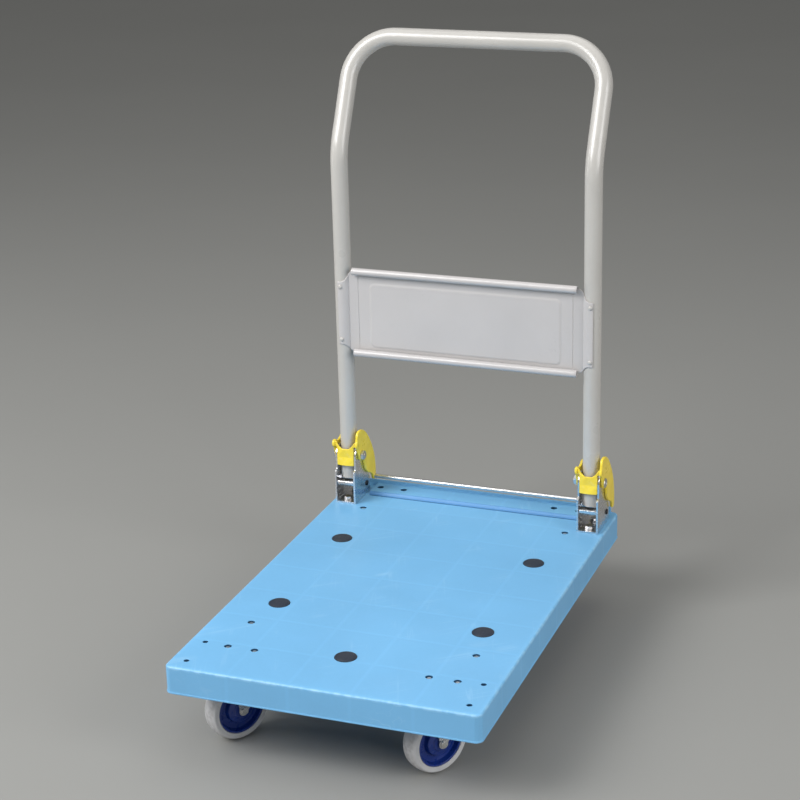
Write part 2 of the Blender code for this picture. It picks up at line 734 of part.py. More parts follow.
def make_latches(materials):
    pawl = prism(pawl_outline(), "X", -PAWL_HALF_WIDTH, PAWL_HALF_WIDTH)
    pawl = smooth(cut(pawl, [rod("X", (0.0, 0.0), PAWL_PIN_RADIUS + GAP, -0.01, 0.01, sides=12)]))
    head = CHEEK_OUTER + GAP
    profile = [(0.0046, -head - 0.0016), (0.0046, -head), (PAWL_PIN_RADIUS, -head),
               (PAWL_PIN_RADIUS, head), (0.0046, head), (0.0046, head + 0.0016)]
    pin = smooth(turned(profile, 12))
    spring = smooth(solid_wire(spring_path(), 0.0006, 5, (1.0, 0.0, 0.0)))
    for side, sign in (("left", -1), ("right", 1)):
        place = (sign * LEG_X, PIVOT_Y + PAWL_PIN_PLACE[0], PIVOT_Z + PAWL_PIN_PLACE[1])
        add_object(f"latch_pawl_{side}", pawl, materials["zinc"], place)
        add_object(f"latch_pin_{side}", pin, materials["black_steel"], place)
        add_object(f"latch_spring_{side}", spring, materials["zinc"], place)


# ---------------------------------------------------------------- casters


def tyre_mesh():
    half = TYRE_WIDTH / 2
    inner = CORE_RADIUS + 0.0004
    crown = [(inner, -half + 0.002), (0.0440, -half), (0.0474, -half + 0.0015), (0.0493, -half + 0.005),
             (WHEEL_RADIUS, -0.004)]
    profile = crown + [(radius, -along) for radius, along in reversed(crown)]
    return smooth(turned(profile, 24, solid=False), 40)


def core_mesh():
    """The moulded wheel centre: rim, thin web and a wide hub."""
    rim = TYRE_WIDTH / 2 - 0.001
    half = [(AXLE_HOLE, HUB_HALF_WIDTH), (0.0125, HUB_HALF_WIDTH), (0.0145, 0.0150), (0.0215, 0.0125),
            (0.0240, 0.0050), (0.0335, 0.0050), (0.0350, rim), (CORE_RADIUS, rim)]
    profile = half + [(radius, -along) for radius, along in reversed(half)]
    return smooth(turned(profile, 20, solid=False), 30)


def fork_leg(trail, top):
    """One leg from the side: wide under the crown, round at the axle."""
    if trail:
        crown = [(-0.0450, 0.0900), (-0.0450, top), (0.0240, top), (0.0240, top - 0.0080)]
        return crown + arc((-trail, WHEEL_RADIUS), FORK_END_RADIUS, -35, -178, 6)
    crown = [(-0.0300, top - 0.0120), (-0.0300, top), (0.0300, top), (0.0300, top - 0.0120)]
    return crown + arc((0.0, WHEEL_RADIUS), FORK_END_RADIUS, -15, -165, 6)


def fork_mesh(trail, top):
    outer = FORK_INNER + FORK_SHEET
    ends = (-0.0450, 0.0240) if trail else (-0.0300, 0.0300)
    mesh = block((-FORK_INNER - 0.001, ends[0], top - 0.0027), (FORK_INNER + 0.001, ends[1], top))
    leg = fork_leg(trail, top)
    mesh = union(mesh, [prism(leg, "X", -outer, -FORK_INNER), prism(leg, "X", FORK_INNER, outer)])
    tools = [rod("X", (-trail, WHEEL_RADIUS), AXLE_HOLE, -0.03, 0.03)]
    if trail:
        tools.append(rod("Z", (0.0, 0.0), 0.0088, top - 0.01, top + 0.01))
    return smooth(cut(mesh, tools))


def plate_mesh(place, swivels):
    """The fixing plate with its three welded studs, and the rivet of a swivelling one."""
    low = PLATE_TOP - PLATE_THICKNESS
    outline = [(x, y) for x, y in rounded_rectangle(0.038, -0.052, 0.052, 0.006, steps=2)]
    mesh = prism(outline, "Z", low, PLATE_TOP)
    studs = []
    for x, y in stud_places(place):
        studs.append(rod("Z", (x - place.x, y - place.y), STUD_RADIUS, low + 0.001, STUD_TOP))
    mesh = union(mesh, studs)
    if swivels:
        head = SWIVEL_CROWN_TOP - 0.0027 - GAP
        profile = [(0.0085, low + 0.001), (0.0085, head), (0.0120, head), (0.0105, head - 0.0030)]
        mesh = union(mesh, [turned(profile, 12, axis="Z")])
    return smooth(mesh)


def race_mesh():
    """The ball race housing between the plate and the fork of a swivelling caster."""
    low = SWIVEL_CROWN_TOP + GAP
    high = PLATE_TOP - PLATE_THICKNESS - GAP
    middle = (low + high) / 2
    profile = [(0.0092, low), (0.0190, low), (0.0262, middle), (0.0262, middle + 0.0020), (0.0240, high),
               (0.0092, high)]
    return smooth(turned(profile, 16, axis="Z", solid=False))


def axle_bolt_mesh():
    head = FORK_INNER + FORK_SHEET + GAP
    return smooth(hex_bolt("X", 0.011, AXLE_RADIUS, head, head + 0.0036, -head - 0.0056))


def axle_nut_mesh():
    face = FORK_INNER + FORK_SHEET + GAP
    return hex_nut("X", (0.0, 0.0), 0.013, AXLE_RADIUS + GAP, -face - 0.0045, -face)


def make_casters(materials):
    tyre = tyre_mesh()
    core = core_mesh()
    race = race_mesh()
    bolt = axle_bolt_mesh()
    nut = axle_nut_mesh()
    swivel_fork = fork_mesh(CASTER_TRAIL, SWIVEL_CROWN_TOP)
    fixed_fork = fork_mesh(0.0, PLATE_TOP - PLATE_THICKNESS - GAP)
    for name, place, swivels in caster_places():
        add_object(f"caster_plate_{name}", plate_mesh(place, swivels), materials["zinc"], place)
        turn = add_empty(f"caster_axis_{name}", place)
        turn.rotation_euler.z = math.radians(CASTER_TURN) if swivels else 0.0
        trail = CASTER_TRAIL if swivels else 0.0
        add_object(f"caster_fork_{name}", swivel_fork if swivels else fixed_fork, materials["zinc"], parent=turn)
        if swivels:
            add_object(f"caster_race_{name}", race, materials["zinc"], parent=turn)
        axle = add_empty(f"wheel_axis_{name}", (0.0, -trail, WHEEL_RADIUS), turn)
        add_object(f"axle_bolt_{name}", bolt, materials["zinc"], parent=axle)
        add_object(f"axle_nut_{name}", nut, materials["zinc"], parent=axle)
        add_object(f"wheel_core_{name}", core, materials["core"], parent=axle)
        add_object(f"wheel_tyre_{name}", tyre, materials["tyre"], parent=axle)


# ---------------------------------------------------------------- assembly


def build():
    clear_scene()
    materials = make_materials()
    make_deck(materials)
    make_deck_pads(materials)
    make_brackets(materials)
    make_latches(materials)
    handle = add_empty("handle_pivot", (0.0, PIVOT_Y, PIVOT_Z))
    make_handle_tube(materials, handle)
    make_handle_panel(materials, handle)
    make_panel_rivets(materials, handle)
    pedals = add_empty("pedal_pivot", (0.0, 0.0, 0.0), handle)
    make_pedals(materials, pedals)
    make_casters(materials)


build()
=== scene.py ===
"""Finished look of the folding platform cart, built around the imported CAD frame."""
import math

import bmesh
import bpy
from mathutils import Matrix, Vector

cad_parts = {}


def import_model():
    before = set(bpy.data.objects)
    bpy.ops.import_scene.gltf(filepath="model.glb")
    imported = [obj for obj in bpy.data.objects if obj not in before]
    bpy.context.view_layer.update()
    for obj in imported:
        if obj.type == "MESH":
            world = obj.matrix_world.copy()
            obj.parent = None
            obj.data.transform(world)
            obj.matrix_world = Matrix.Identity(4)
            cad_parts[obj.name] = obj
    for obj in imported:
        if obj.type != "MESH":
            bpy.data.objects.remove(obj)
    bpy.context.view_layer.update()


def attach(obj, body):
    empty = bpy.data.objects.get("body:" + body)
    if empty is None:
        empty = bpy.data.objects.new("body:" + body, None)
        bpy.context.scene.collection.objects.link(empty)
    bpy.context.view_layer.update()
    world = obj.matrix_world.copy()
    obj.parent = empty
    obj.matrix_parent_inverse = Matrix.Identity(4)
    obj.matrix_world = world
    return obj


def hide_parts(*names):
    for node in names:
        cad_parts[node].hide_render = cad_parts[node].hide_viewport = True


GAP = 0.0003  # clearance between pieces that touch

DECK_HALF = 0.242
DECK_LENGTH = 0.74
DECK_TOP = 0.155
DECK_DEPTH = 0.044
DECK_SKIN = 0.0045
DECK_WALL = 0.0045
DECK_CORNER = 0.011
DECK_EDGE = 0.0035
DECK_LIP = 0.0007  # bead round the foot of the skirt
DECK_LIP_HEIGHT = 0.003
RIB_THICKNESS = 0.003
RIB_COLUMNS = 4
RIB_ROWS = 7
STRIP_HALF_WIDTH = 0.19
STRIP_DEPTH = 0.05
STRIP_RISE = 0.005
LIP_RISE = 0.0045
LIP_DEPTH = 0.005
LIP_HALF_WIDTH = 0.229
PAD_RADIUS = 0.0168
PAD_PROUD = 0.0008
PAD_RECESS = 0.0023
PAD_PLACES = [(0.165, 0.5), (-0.165, 0.5), (0.165, 0.243), (-0.165, 0.243), (0, 0.107)]
SMALL_HOLES = [(0.217, 0.026), (0.217, 0.089), (-0.217, 0.026), (-0.217, 0.089)]
SMALL_HOLE_RADIUS = 0.0042

TUBE_RADIUS = 0.0143
TUBE_WALL = 0.0016
LEG_X = 0.2145
LEG_FROM_FRONT = 0.663
GRIP_FROM_FRONT = 0.748
GRIP_Z = 0.9415
KINK_Z = 0.77
GRIP_CORNER = 0.073
KINK_CORNER = 0.11
PIVOT_Z = 0.238
TUBE_BELOW_PIVOT = 0.04

PANEL_FORWARD = 0.008
PANEL_LOW_Z = 0.422
PANEL_HIGH_Z = 0.5745
PANEL_HALF_WIDTH = 0.1985
PANEL_SHEET = 0.0012
PANEL_ROWS = 110  # rows of faces up the flat of the sheet
CURL_RADIUS = 0.0056
TAB_LOW_Z = 0.441
TAB_HIGH_Z = 0.5495
TAB_PAST_FRONT = 18
RIVET_Z = [0.4495, 0.541]
FIELD_HALF_WIDTH = 0.163  # the raised field pressed into the panel
FIELD_LOW_Z = 0.4395
FIELD_HIGH_Z = 0.5475
FIELD_CORNER = 0.008
FIELD_RISE = 0.0011
GROOVE_X = 0.1845
GROOVE_DEPTH = 0.0007

CHEEK_INNER = 0.0153
CHEEK_OUTER = 0.0183
LOBE_RADIUS = 0.018
BASE_THICKNESS = 0.003
BASE_BOLT_SHANK = 0.004
BASE_BOLT_Y = [-0.0115, 0.024]
BOLT_SHANK = 0.0048

PEDAL_INNER = 0.0186
PEDAL_OUTER = 0.0231
PEDAL_BAND_HALF = 0.015
PEDAL_BAND_BACK = -0.0178
PEDAL_BAND_SHEET = 0.003
BAND_BOW = 9  # how far it bows back, in m for each square m from its middle
ROD_RADIUS = 0.0036
ROD_PLACE = (0.0565, -0.06)
ROD_HALF_LENGTH = 0.1957
PAWL_PIN_PLACE = (0.03, -0.064)
PAWL_PIN_RADIUS = 0.0025
PAWL_HALF_WIDTH = 0.005

WHEEL_RADIUS = 0.05
TYRE_HALF = 0.015
CORE_RADIUS = 0.0384
HUB_HALF_WIDTH = 0.017
AXLE_RADIUS = 0.004
CASTER_X = 0.1575
CASTER_FROM_FRONT = {"front": 0.128, "rear": 0.6725}
CASTER_TRAIL = 0.035
CASTER_TURN = -33
PLATE_TOP = 0.1222
PLATE_THICKNESS = 0.0028
STUD_X = 0.0215
STUD_Y = 0.0415
STUD_RADIUS = 0.004
STUD_HOLE = 0.0056
STUD_TOP = 0.1528
FORK_INNER = 0.018
FORK_SHEET = 0.0022
FORK_END_RADIUS = 0.0064
CROWN_SHEET = 0.0027
SWIVEL_FORK_Y = (-0.045, 0.024)
FIXED_FORK_Y = (-0.03, 0.03)
SWIVEL_CROWN_TOP = 0.1082

FRONT_Y = -(GRIP_FROM_FRONT + TUBE_RADIUS) / 2
REAR_Y = FRONT_Y + DECK_LENGTH
PIVOT_Y = FRONT_Y + LEG_FROM_FRONT
DECK_BOTTOM = DECK_TOP - DECK_DEPTH
BOSS_BOTTOM = PLATE_TOP + GAP
RIB_LOW = BOSS_BOTTOM + 0.0035
SIDES = (("left", -1), ("right", 1))
ORIGIN = (0, 0, 0)

CAMERA_PLACE = (1.020489, -2.683174, 1.499657)
CAMERA_AZIMUTH = 0.366876
CAMERA_ELEVATION = 0.348474
CAMERA_ROLL = -0.025919
CAMERA_LENS = 90.343
CAMERA_SENSOR = 36
LIGHTS = [  # name, place, aim, size, power
    ("key", (-2.1, -2.3, 3), (0, 0, 0.35), (2.2, 2.2), 165),
    ("overhead", (0.3, 0.6, 3.4), (0, 0, 0.3), (2.6, 2.6), 18),
    ("fill", (2.9, -0.9, 1.7), (0, 0, 0.4), (1.6, 2), 48),
    ("strip_left", (-3.2, -0.7, 1.2), (0, 0, 0.5), (0.35, 2.2), 15),
    ("strip_right", (2.5, -2.6, 1.3), (0, 0, 0.5), (0.3, 2), 9),
]
SKY_RAMP = [(0, (0.26, 0.26, 0.255, 1)), (0.9, (0.62, 0.62, 0.61, 1))]
SKY_STRENGTH = 0.52
FINISHES = {}  # slot: material, filled in by make_finishes


# Outlines


def arc(centre, radius, start, end, steps):
    points = []
    for step in range(steps + 1):
        angle = math.radians(start + (end - start) * step / steps)
        points.append((centre[0] + radius * math.cos(angle), centre[1] + radius * math.sin(angle)))
    return points


def circle(centre, radius, sides, phase=0):
    return arc(centre, radius, phase, phase + 360 - 360 / sides, sides - 1)


def rounded_rectangle(half_width, low, high, radius, steps=12):
    x = half_width - radius
    outline = []
    centres = [(x, low + radius), (x, high - radius), (-x, high - radius), (-x, low + radius)]
    for turn, centre in enumerate(centres):
        outline += arc(centre, radius, 90 * turn - 90, 90 * turn, steps)
    return outline


def softened(outline, rounds=2, share=0.25):
    """A closed outline with its corners cut several times."""
    for _ in range(rounds):
        cut_corners = []
        for index, point in enumerate(outline):
            here = Vector(point)
            after = Vector(outline[(index + 1) % len(outline)])
            cut_corners.append(tuple(here.lerp(after, share)))
            cut_corners.append(tuple(here.lerp(after, 1 - share)))
        outline = cut_corners
    return outline


def inset(outline, amount):
    """The outline moved inwards by an even amount."""
    turning = sum(Vector(outline[index - 1]).cross(Vector(point)) for index, point in enumerate(outline))
    facing = math.copysign(1, turning)
    moved_in = []
    for index, point in enumerate(outline):
        here = Vector(point)
        arriving = (here - Vector(outline[index - 1])).normalized()
        leaving = (Vector(outline[(index + 1) % len(outline)]) - here).normalized()
        first = Vector((-arriving.y, arriving.x)) * facing
        second = Vector((-leaving.y, leaving.x)) * facing
        across = first + second
        across = across.normalized() if across.length > 1e-6 else first
        moved_in.append(tuple(here + across * (amount / max(across.dot(first), 0.6))))
    return moved_in


def ribbon(points, thickness):
    """The outline of a sheet of even thickness whose middle follows an open line."""
    left = []
    right = []
    for index, point in enumerate(points):
        here = Vector(point)
        arriving = (here - Vector(points[max(index - 1, 0)])).normalized()
        leaving = (Vector(points[min(index + 1, len(points) - 1)]) - here).normalized()
        along = (arriving + leaving).normalized() * thickness / 2
        left.append((here.x - along.y, here.y + along.x))
        right.append((here.x + along.y, here.y - along.x))
    return left + right[::-1]


# Meshes


def on_axis(axis, a, b, along):
    if axis == "X":
        return Vector((along, a, b))
    if axis == "Y":
        return Vector((a, along, b))
    return Vector((a, b, along))


def finish_mesh(work):
    bmesh.ops.recalc_face_normals(work, faces=work.faces)
    mesh = bpy.data.meshes.new("fine")
    work.to_mesh(mesh)
    work.free()
    return mesh


def bridge(work, first, second, closed=True):
    """Faces between two rows of points, which are rings if closed."""
    for side in range(len(first) if closed else len(first) - 1):
        after = (side + 1) % len(first)
        work.faces.new((first[side], first[after], second[after], second[side]))


def stacked(outline, axis, levels):
    """A closed solid of rings: each level is (inset, place along the axis)."""
    work = bmesh.new()
    rings = []
    for amount, along in levels:
        ring = inset(outline, amount) if amount else outline
        rings.append([work.verts.new(on_axis(axis, a, b, along)) for a, b in ring])
    for first, second in zip(rings, rings[1:]):
        bridge(work, first, second)
    work.faces.new(rings[0])
    work.faces.new(rings[-1])
    return finish_mesh(work)


def prism(outline, axis, low, high):
    return stacked(outline, axis, [(0, low), (0, high)])


def plate(outline, axis, low, high, radius, steps=3):
    """A plate with rounded edges."""
    levels = []
    for step in range(steps + 1):
        angle = math.pi / 2 * step / steps
        levels.append((radius * (1 - math.sin(angle)), low + radius * (1 - math.cos(angle))))
    levels += [(amount, high + low - along) for amount, along in reversed(levels)]
    return stacked(outline, axis, levels)


def box(x, half_width, front, rear, low, high):
    left = x - half_width
    right = x + half_width
    return prism([(left, front), (right, front), (right, rear), (left, rear)], "Z", low, high)


def rod(axis, centre, radius, low, high, sides=32, phase=0):
    return prism(circle(centre, radius, sides, phase), axis, low, high)


def turned(profile, steps=64, axis="X", solid=True):
    """A profile of (radius, along) points turned round an axis; solid closes its two ends."""
    work = bmesh.new()
    rings = []
    for radius, along in profile:
        ring = circle((0, 0), radius, steps)
        rings.append([work.verts.new(on_axis(axis, a, b, along)) for a, b in ring])
    pairs = list(zip(rings, rings[1:]))
    if solid:
        work.faces.new(rings[0])
        work.faces.new(rings[-1])
    else:
        pairs.append((rings[-1], rings[0]))
    for first, second in pairs:
        bridge(work, first, second)
    return finish_mesh(work)


def both_sides(half):
    """A profile with the same shape on the other side of the middle, from end to end."""
    return [(radius, -along) for radius, along in reversed(half)] + half


def filleted(points, radii, steps):
    """A path through corner points, each corner rounded to its own radius."""
    path = [Vector(points[0])]
    for index in range(1, len(points) - 1):
        corner = Vector(points[index])
        to_last = (Vector(points[index - 1]) - corner).normalized()
        to_next = (Vector(points[index + 1]) - corner).normalized()
        half_angle = to_last.angle(to_next) / 2
        radius = radii[index - 1]
        middle = corner + (to_last + to_next).normalized() * (radius / math.sin(half_angle))
        start = corner + to_last * (radius / math.tan(half_angle))
        turn_axis = (start - middle).cross(corner + to_next - middle).normalized()
        for step in range(steps + 1):
            share = (math.pi - 2 * half_angle) * step / steps
            path.append(middle + Matrix.Rotation(share, 4, turn_axis) @ (start - middle))
    path.append(Vector(points[-1]))
    return path


def swept(path, radius, sides, side_axis, bore=0):
    """A round section along a path: a solid wire, or a tube if it has a bore."""
    work = bmesh.new()
    shells = []
    for size in filter(None, (radius, bore)):
        rings = []
        reference = Vector(side_axis)
        for index, point in enumerate(path):
            before = path[max(index - 1, 0)]
            after = path[min(index + 1, len(path) - 1)]
            tangent = ((after - point).normalized() + (point - before).normalized()).normalized()
            reference = (reference - tangent * reference.dot(tangent)).normalized()
            other = tangent.cross(reference)
            ring = []
            for a, b in circle((0, 0), size, sides):
                ring.append(work.verts.new(point + reference * a + other * b))
            rings.append(ring)
        for first, second in zip(rings, rings[1:]):
            bridge(work, first, second)
        shells.append(rings)
    for end in (0, -1):
        if bore:
            bridge(work, shells[0][end], shells[1][end])
        else:
            work.faces.new(shells[0][end])
    return finish_mesh(work)


def joined(meshes):
    """Several closed meshes as one mesh, each left whole."""
    work = bmesh.new()
    for mesh in meshes:
        work.from_mesh(mesh)
    result = bpy.data.meshes.new("joined")
    work.to_mesh(result)
    work.free()
    return result


def moved(mesh, offset=(0, 0, 0), turn=0, axis="Z"):
    copy = mesh.copy()
    copy.transform(Matrix.Translation(offset) @ Matrix.Rotation(math.radians(turn), 4, axis))
    return copy


def add_object(name, data):
    made = bpy.data.objects.new(name, data)
    bpy.context.collection.objects.link(made)
    return made


def combined(mesh, tools, operation):
    """The mesh after a Boolean with each tool mesh in turn."""
    target = add_object("target", mesh)
    for tool_mesh in tools:
        tool = add_object("tool", tool_mesh)
        modifier = target.modifiers.new("combine", "BOOLEAN")
        modifier.solver = "EXACT"
        modifier.operation = operation
        modifier.object = tool
        graph = bpy.context.evaluated_depsgraph_get()
        target.data = bpy.data.meshes.new_from_object(target.evaluated_get(graph))
        target.modifiers.clear()
        bpy.data.objects.remove(tool)
    result = target.data
    bpy.data.objects.remove(target)
    return result


def union(mesh, tools):
    return combined(mesh, tools, "UNION")


def cut(mesh, tools):
    return combined(mesh, tools, "DIFFERENCE")


def hex_head(axis, across_flats, low, high, inner=0):
    """A hexagon whose corners are turned down at its outer end."""
    corner = across_flats / math.sqrt(3)
    hexagon = rod(axis, (0, 0), corner, min(low, high), max(low, high), sides=6, phase=30)
    rise = (high - low) * 0.22
    cone = [(corner * 1.3, low - rise), (corner * 1.3, high - rise * 2.6), (across_flats * 0.47, high)]
    dome = turned(cone, 40, axis=axis)
    head = combined(hexagon, [dome], "INTERSECT")
    if inner:
        head = cut(head, [rod(axis, (0, 0), inner, min(low, high) - 0.002, max(low, high) + 0.002)])
    return head


# Materials


class Shader:
    """A material being wired up."""

    def __init__(self, name, colour, roughness, metallic=0):
        self.material = FINISHES[name] = bpy.data.materials.new(name)
        self.material.use_nodes = True
        self.tree = self.material.node_tree
        self.principled = self.tree.nodes["Principled BSDF"]
        self.plain = self.tone = colour
        self.setting("Base Color", (*colour, 1))
        self.setting("Roughness", roughness)
        self.setting("Metallic", metallic)
        self.material.diffuse_color = (*colour, 1)
        self.place = self.tree.nodes.new("ShaderNodeTexCoord").outputs["Object"]
        self.height = None

    def node(self, kind, inputs=(), **settings):
        made = self.tree.nodes.new(kind)
        for key, value in settings.items():
            setattr(made, key, value)
        for key, value in dict(inputs).items():
            if isinstance(value, bpy.types.NodeSocket):
                self.tree.links.new(value, made.inputs[key])
            else:
                made.inputs[key].default_value = value
        return made

    def maths(self, operation, first, second=0, clamp=False):
        made = self.node("ShaderNodeMath", {0: first, 1: second}, operation=operation, use_clamp=clamp)
        return made.outputs[0]

    def times(self, first, *others):
        for other in others:
            first = self.maths("MULTIPLY", first, other)
        return first

    def above(self, value, limit):
        return self.maths("GREATER_THAN", value, limit)

    def below(self, value, limit):
        return self.maths("LESS_THAN", value, limit)

    def axis(self, index):
        return self.node("ShaderNodeSeparateXYZ", {0: self.place}).outputs[index]

    def noise(self, scale, detail=3, stretch=None, turn=(0, 0, 0), distortion=0):
        place = self.place
        if stretch:
            spin = self.node("ShaderNodeMapping", {"Vector": place, "Rotation": turn}).outputs[0]
            place = self.node("ShaderNodeMapping", {"Vector": spin, "Scale": stretch}).outputs[0]
        made = self.node("ShaderNodeTexNoise", {"Vector": place, "Scale": scale, "Detail": detail,
                                                "Distortion": distortion})
        return made.outputs["Fac"]

    def span(self, value, low, high, to_low=0, to_high=1, kind="LINEAR"):
        """A value mapped from one range to another, clamped."""
        ends = {"Value": value, "From Min": low, "From Max": high, "To Min": to_low, "To Max": to_high}
        return self.node("ShaderNodeMapRange", ends, interpolation_type=kind).outputs["Result"]

    def mix(self, factor, *tones):
        """A blend of two colours, by the colour sockets of the mix node."""
        first, second = [tone if isinstance(tone, bpy.types.NodeSocket) else (*tone, 1) for tone in tones]
        return self.node("ShaderNodeMix", {0: factor, 6: first, 7: second}, data_type="RGBA").outputs[2]

    def blend(self, factor, first, second):
        self.tone = self.mix(factor, first, second)
        self.tree.links.new(self.tone, self.principled.inputs["Base Color"])

    def mottle(self, mask, amount):
        """Starts the colour off: a little darker and lighter than the plain one."""
        self.blend(mask, self.shade(1 - amount), self.shade(1 + amount))

    def tint(self, mask, share, colour):
        """Adds a share of another colour wherever the mask is."""
        self.blend(self.times(mask, share), self.tone, colour)

    def shade(self, factor):
        return tuple(min(1, channel * factor) for channel in self.plain)

    def setting(self, name, value):
        self.principled.inputs[name].default_value = value

    def roughness(self, socket):
        self.tree.links.new(socket, self.principled.inputs["Roughness"])

    def bump(self, height, distance, strength=1):
        """Adds one more bump layer on top of those already there."""
        inputs = {"Height": height, "Distance": distance, "Strength": strength}
        if self.height is not None:
            inputs["Normal"] = self.height
        self.height = self.node("ShaderNodeBump", inputs).outputs["Normal"]
        self.tree.links.new(self.height, self.principled.inputs["Normal"])

    def scratches(self, scale, turn, width=0.012):
        """Fine straight marks that run mostly one way, as a mask."""
        lines = self.noise(scale, 2, stretch=(1, 0.03, 1), turn=turn, distortion=0.2)
        from_line = self.maths("ABSOLUTE", self.maths("SUBTRACT", lines, 0.5))
        where = self.span(self.noise(14, 2), 0.52, 0.66)
        return self.times(where, self.span(from_line, 0, width, 1, 0))


def rib_lines(look):
    """Where a rib stands under the deck's skin."""
    half = DECK_HALF - DECK_WALL
    pitch_x = 2 * half / (RIB_COLUMNS + 1)
    pitch_y = (DECK_LENGTH - 2 * DECK_WALL) / (RIB_ROWS + 1)
    across = look.maths("PINGPONG", look.maths("ADD", look.axis(0), half + 10 * pitch_x), pitch_x / 2)
    start = -(FRONT_Y + DECK_WALL) + 10 * pitch_y
    along = look.maths("PINGPONG", look.maths("ADD", look.axis(1), start), pitch_y / 2)
    near = look.maths("MINIMUM", across, along)
    return look.span(near, 0.0008, 0.0045, 1, 0, "SMOOTHSTEP")


def painted_hole_shade(look):
    """Where the wall of a hole in the deck is, given painted shade that keeps the hole dark."""
    side = look.maths("ABSOLUTE", look.axis(0))
    along = look.axis(1)
    height = look.axis(2)
    field = look.times(look.below(side, DECK_HALF - 0.009), look.above(along, FRONT_Y + 0.009),
                       look.below(along, REAR_Y - 0.009))
    deep = look.times(look.span(height, DECK_TOP - 0.0013, DECK_TOP - 0.0005, 1, 0),
                      look.above(height, DECK_TOP - DECK_SKIN + 0.0002))
    raised = look.times(look.below(side, STRIP_HALF_WIDTH - 0.002),
                        look.above(along, REAR_Y - STRIP_DEPTH + 0.005),
                        look.span(height, DECK_TOP + 0.0037, DECK_TOP + 0.0045, 1, 0),
                        look.above(height, DECK_TOP - 0.001))
    return look.times(field, look.maths("MAXIMUM", deep, raised))


def painted_band_shade(look):
    """Where the front face of the raised band is, given painted shade that keeps it darker than the deck."""
    along = look.axis(1)
    front = REAR_Y - STRIP_DEPTH
    across = look.below(look.maths("ABSOLUTE", look.axis(0)), STRIP_HALF_WIDTH)
    return look.times(across, look.span(along, front - 0.0066, front - 0.005),
                      look.span(along, front + 0.0022, front + 0.0042, 1, 0))


def deck_finish():
    colour = (0.173, 0.446, 0.735)
    look = Shader("deck_plastic", colour, 0.42)
    ribs = rib_lines(look)
    cloud = look.span(look.noise(6, 4, distortion=0.4), 0.3, 0.7)
    fine = look.span(look.noise(160, 3), 0.35, 0.65)
    marks = look.scratches(26, (0, 0, 0.9))
    other_marks = look.scratches(34, (0, 0, -0.35), 0.008)
    wear = look.maths("MAXIMUM", marks, other_marks)
    side = look.maths("ABSOLUTE", look.axis(0))
    centre_y = (FRONT_Y + REAR_Y) / 2
    end = look.maths("ABSOLUTE", look.maths("SUBTRACT", look.axis(1), centre_y))
    rim = look.maths("MAXIMUM", look.span(side, DECK_HALF - 0.0042, DECK_HALF - 0.0006),
                     look.span(end, DECK_LENGTH / 2 - 0.0042, DECK_LENGTH / 2 - 0.0006))
    top = look.span(look.axis(2), DECK_TOP - 0.006, DECK_TOP - 0.002)
    rubbed = look.times(rim, top, look.span(look.noise(90, 4), 0.35, 0.6))
    look.mottle(cloud, 0.045)
    look.tint(fine, 0.1, look.shade(1.14))
    look.tint(ribs, 0.16, look.shade(1.22))
    look.tint(rubbed, 0.55, (0.38, 0.66, 0.9))
    look.tint(wear, 0.25, (0.42, 0.67, 0.88))
    # painted shade on the front face of the raised band
    look.tint(painted_band_shade(look), 0.62, (0.05, 0.2, 0.5))
    # painted shade down the walls of the holes in the deck
    look.tint(painted_hole_shade(look), 0.93, (0.008, 0.045, 0.105))
    rough = look.span(look.noise(11, 5), 0.3, 0.7, 0.36, 0.47)
    rough = look.maths("ADD", rough, look.times(wear, 0.14))
    rough = look.maths("ADD", rough, look.times(ribs, -0.03), clamp=True)
    look.roughness(rough)
    look.bump(look.noise(1500, 2), 0.00012, 0.35)
    look.bump(ribs, -0.00022, 0.5)
    look.bump(wear, -0.00005, 0.4)
    look.setting("Specular IOR Level", 0.45)


def pad_finish():
    colour = (0.015, 0.024, 0.043)
    look = Shader("pad_rubber", colour, 0.6)
    dust = look.span(look.noise(240, 5, distortion=0.5), 0.42, 0.72)
    worn = look.span(look.noise(70, 3), 0.4, 0.65)
    look.tint(dust, 0.45, (0.062, 0.07, 0.084))
    look.tint(worn, 0.35, (0.034, 0.038, 0.046))
    look.roughness(look.span(dust, 0, 1, 0.5, 0.78))
    look.bump(look.noise(2200, 2), 0.00015, 0.6)


def paint_finish(name, colour, gloss):
    """Satin powder coat: slight orange peel, faint dust and a few scuffs."""
    look = Shader(name, colour, gloss)
    cloud = look.span(look.noise(9, 4), 0.3, 0.7)
    speck = look.span(look.noise(700, 2), 0.6, 0.75)
    scuff = look.scratches(60, (0.3, 0, 0.6), 0.01)
    look.mottle(cloud, 0.035)
    look.tint(speck, 0.12, look.shade(0.8))
    look.tint(scuff, 0.22, look.shade(0.72))
    rough = look.span(look.noise(24, 5), 0.3, 0.7, gloss - 0.05, gloss + 0.06)
    look.roughness(look.maths("ADD", rough, look.times(scuff, 0.15), clamp=True))
    look.bump(look.noise(420, 3), 0.00012, 0.3)
    look.bump(scuff, -0.00004, 0.4)
    look.setting("Coat Weight", 0.55)
    look.setting("Coat Roughness", 0.22)


def metal_finish(name, colour, tarnish, low, high, grain, stretch=(1, 1, 14)):
    """Plated steel: drawn streaks, mottled plating and small pits."""
    look = Shader(name, colour, low, 1)
    mottle = look.span(look.noise(55, 5, distortion=0.6), 0.38, 0.68)
    streak = look.noise(grain, 4, stretch=stretch)
    pits = look.span(look.noise(520, 3), 0.64, 0.74)
    look.tint(mottle, 0.55, tarnish)
    look.tint(pits, 0.35, [0.55 * channel for channel in tarnish])
    rough = look.span(streak, 0.3, 0.7, low, high)
    rough = look.maths("ADD", rough, look.times(pits, 0.18))
    look.roughness(look.maths("ADD", rough, look.times(mottle, 0.04), clamp=True))
    look.bump(streak, 0.00004, 0.25)
    look.bump(pits, -0.00006, 0.35)


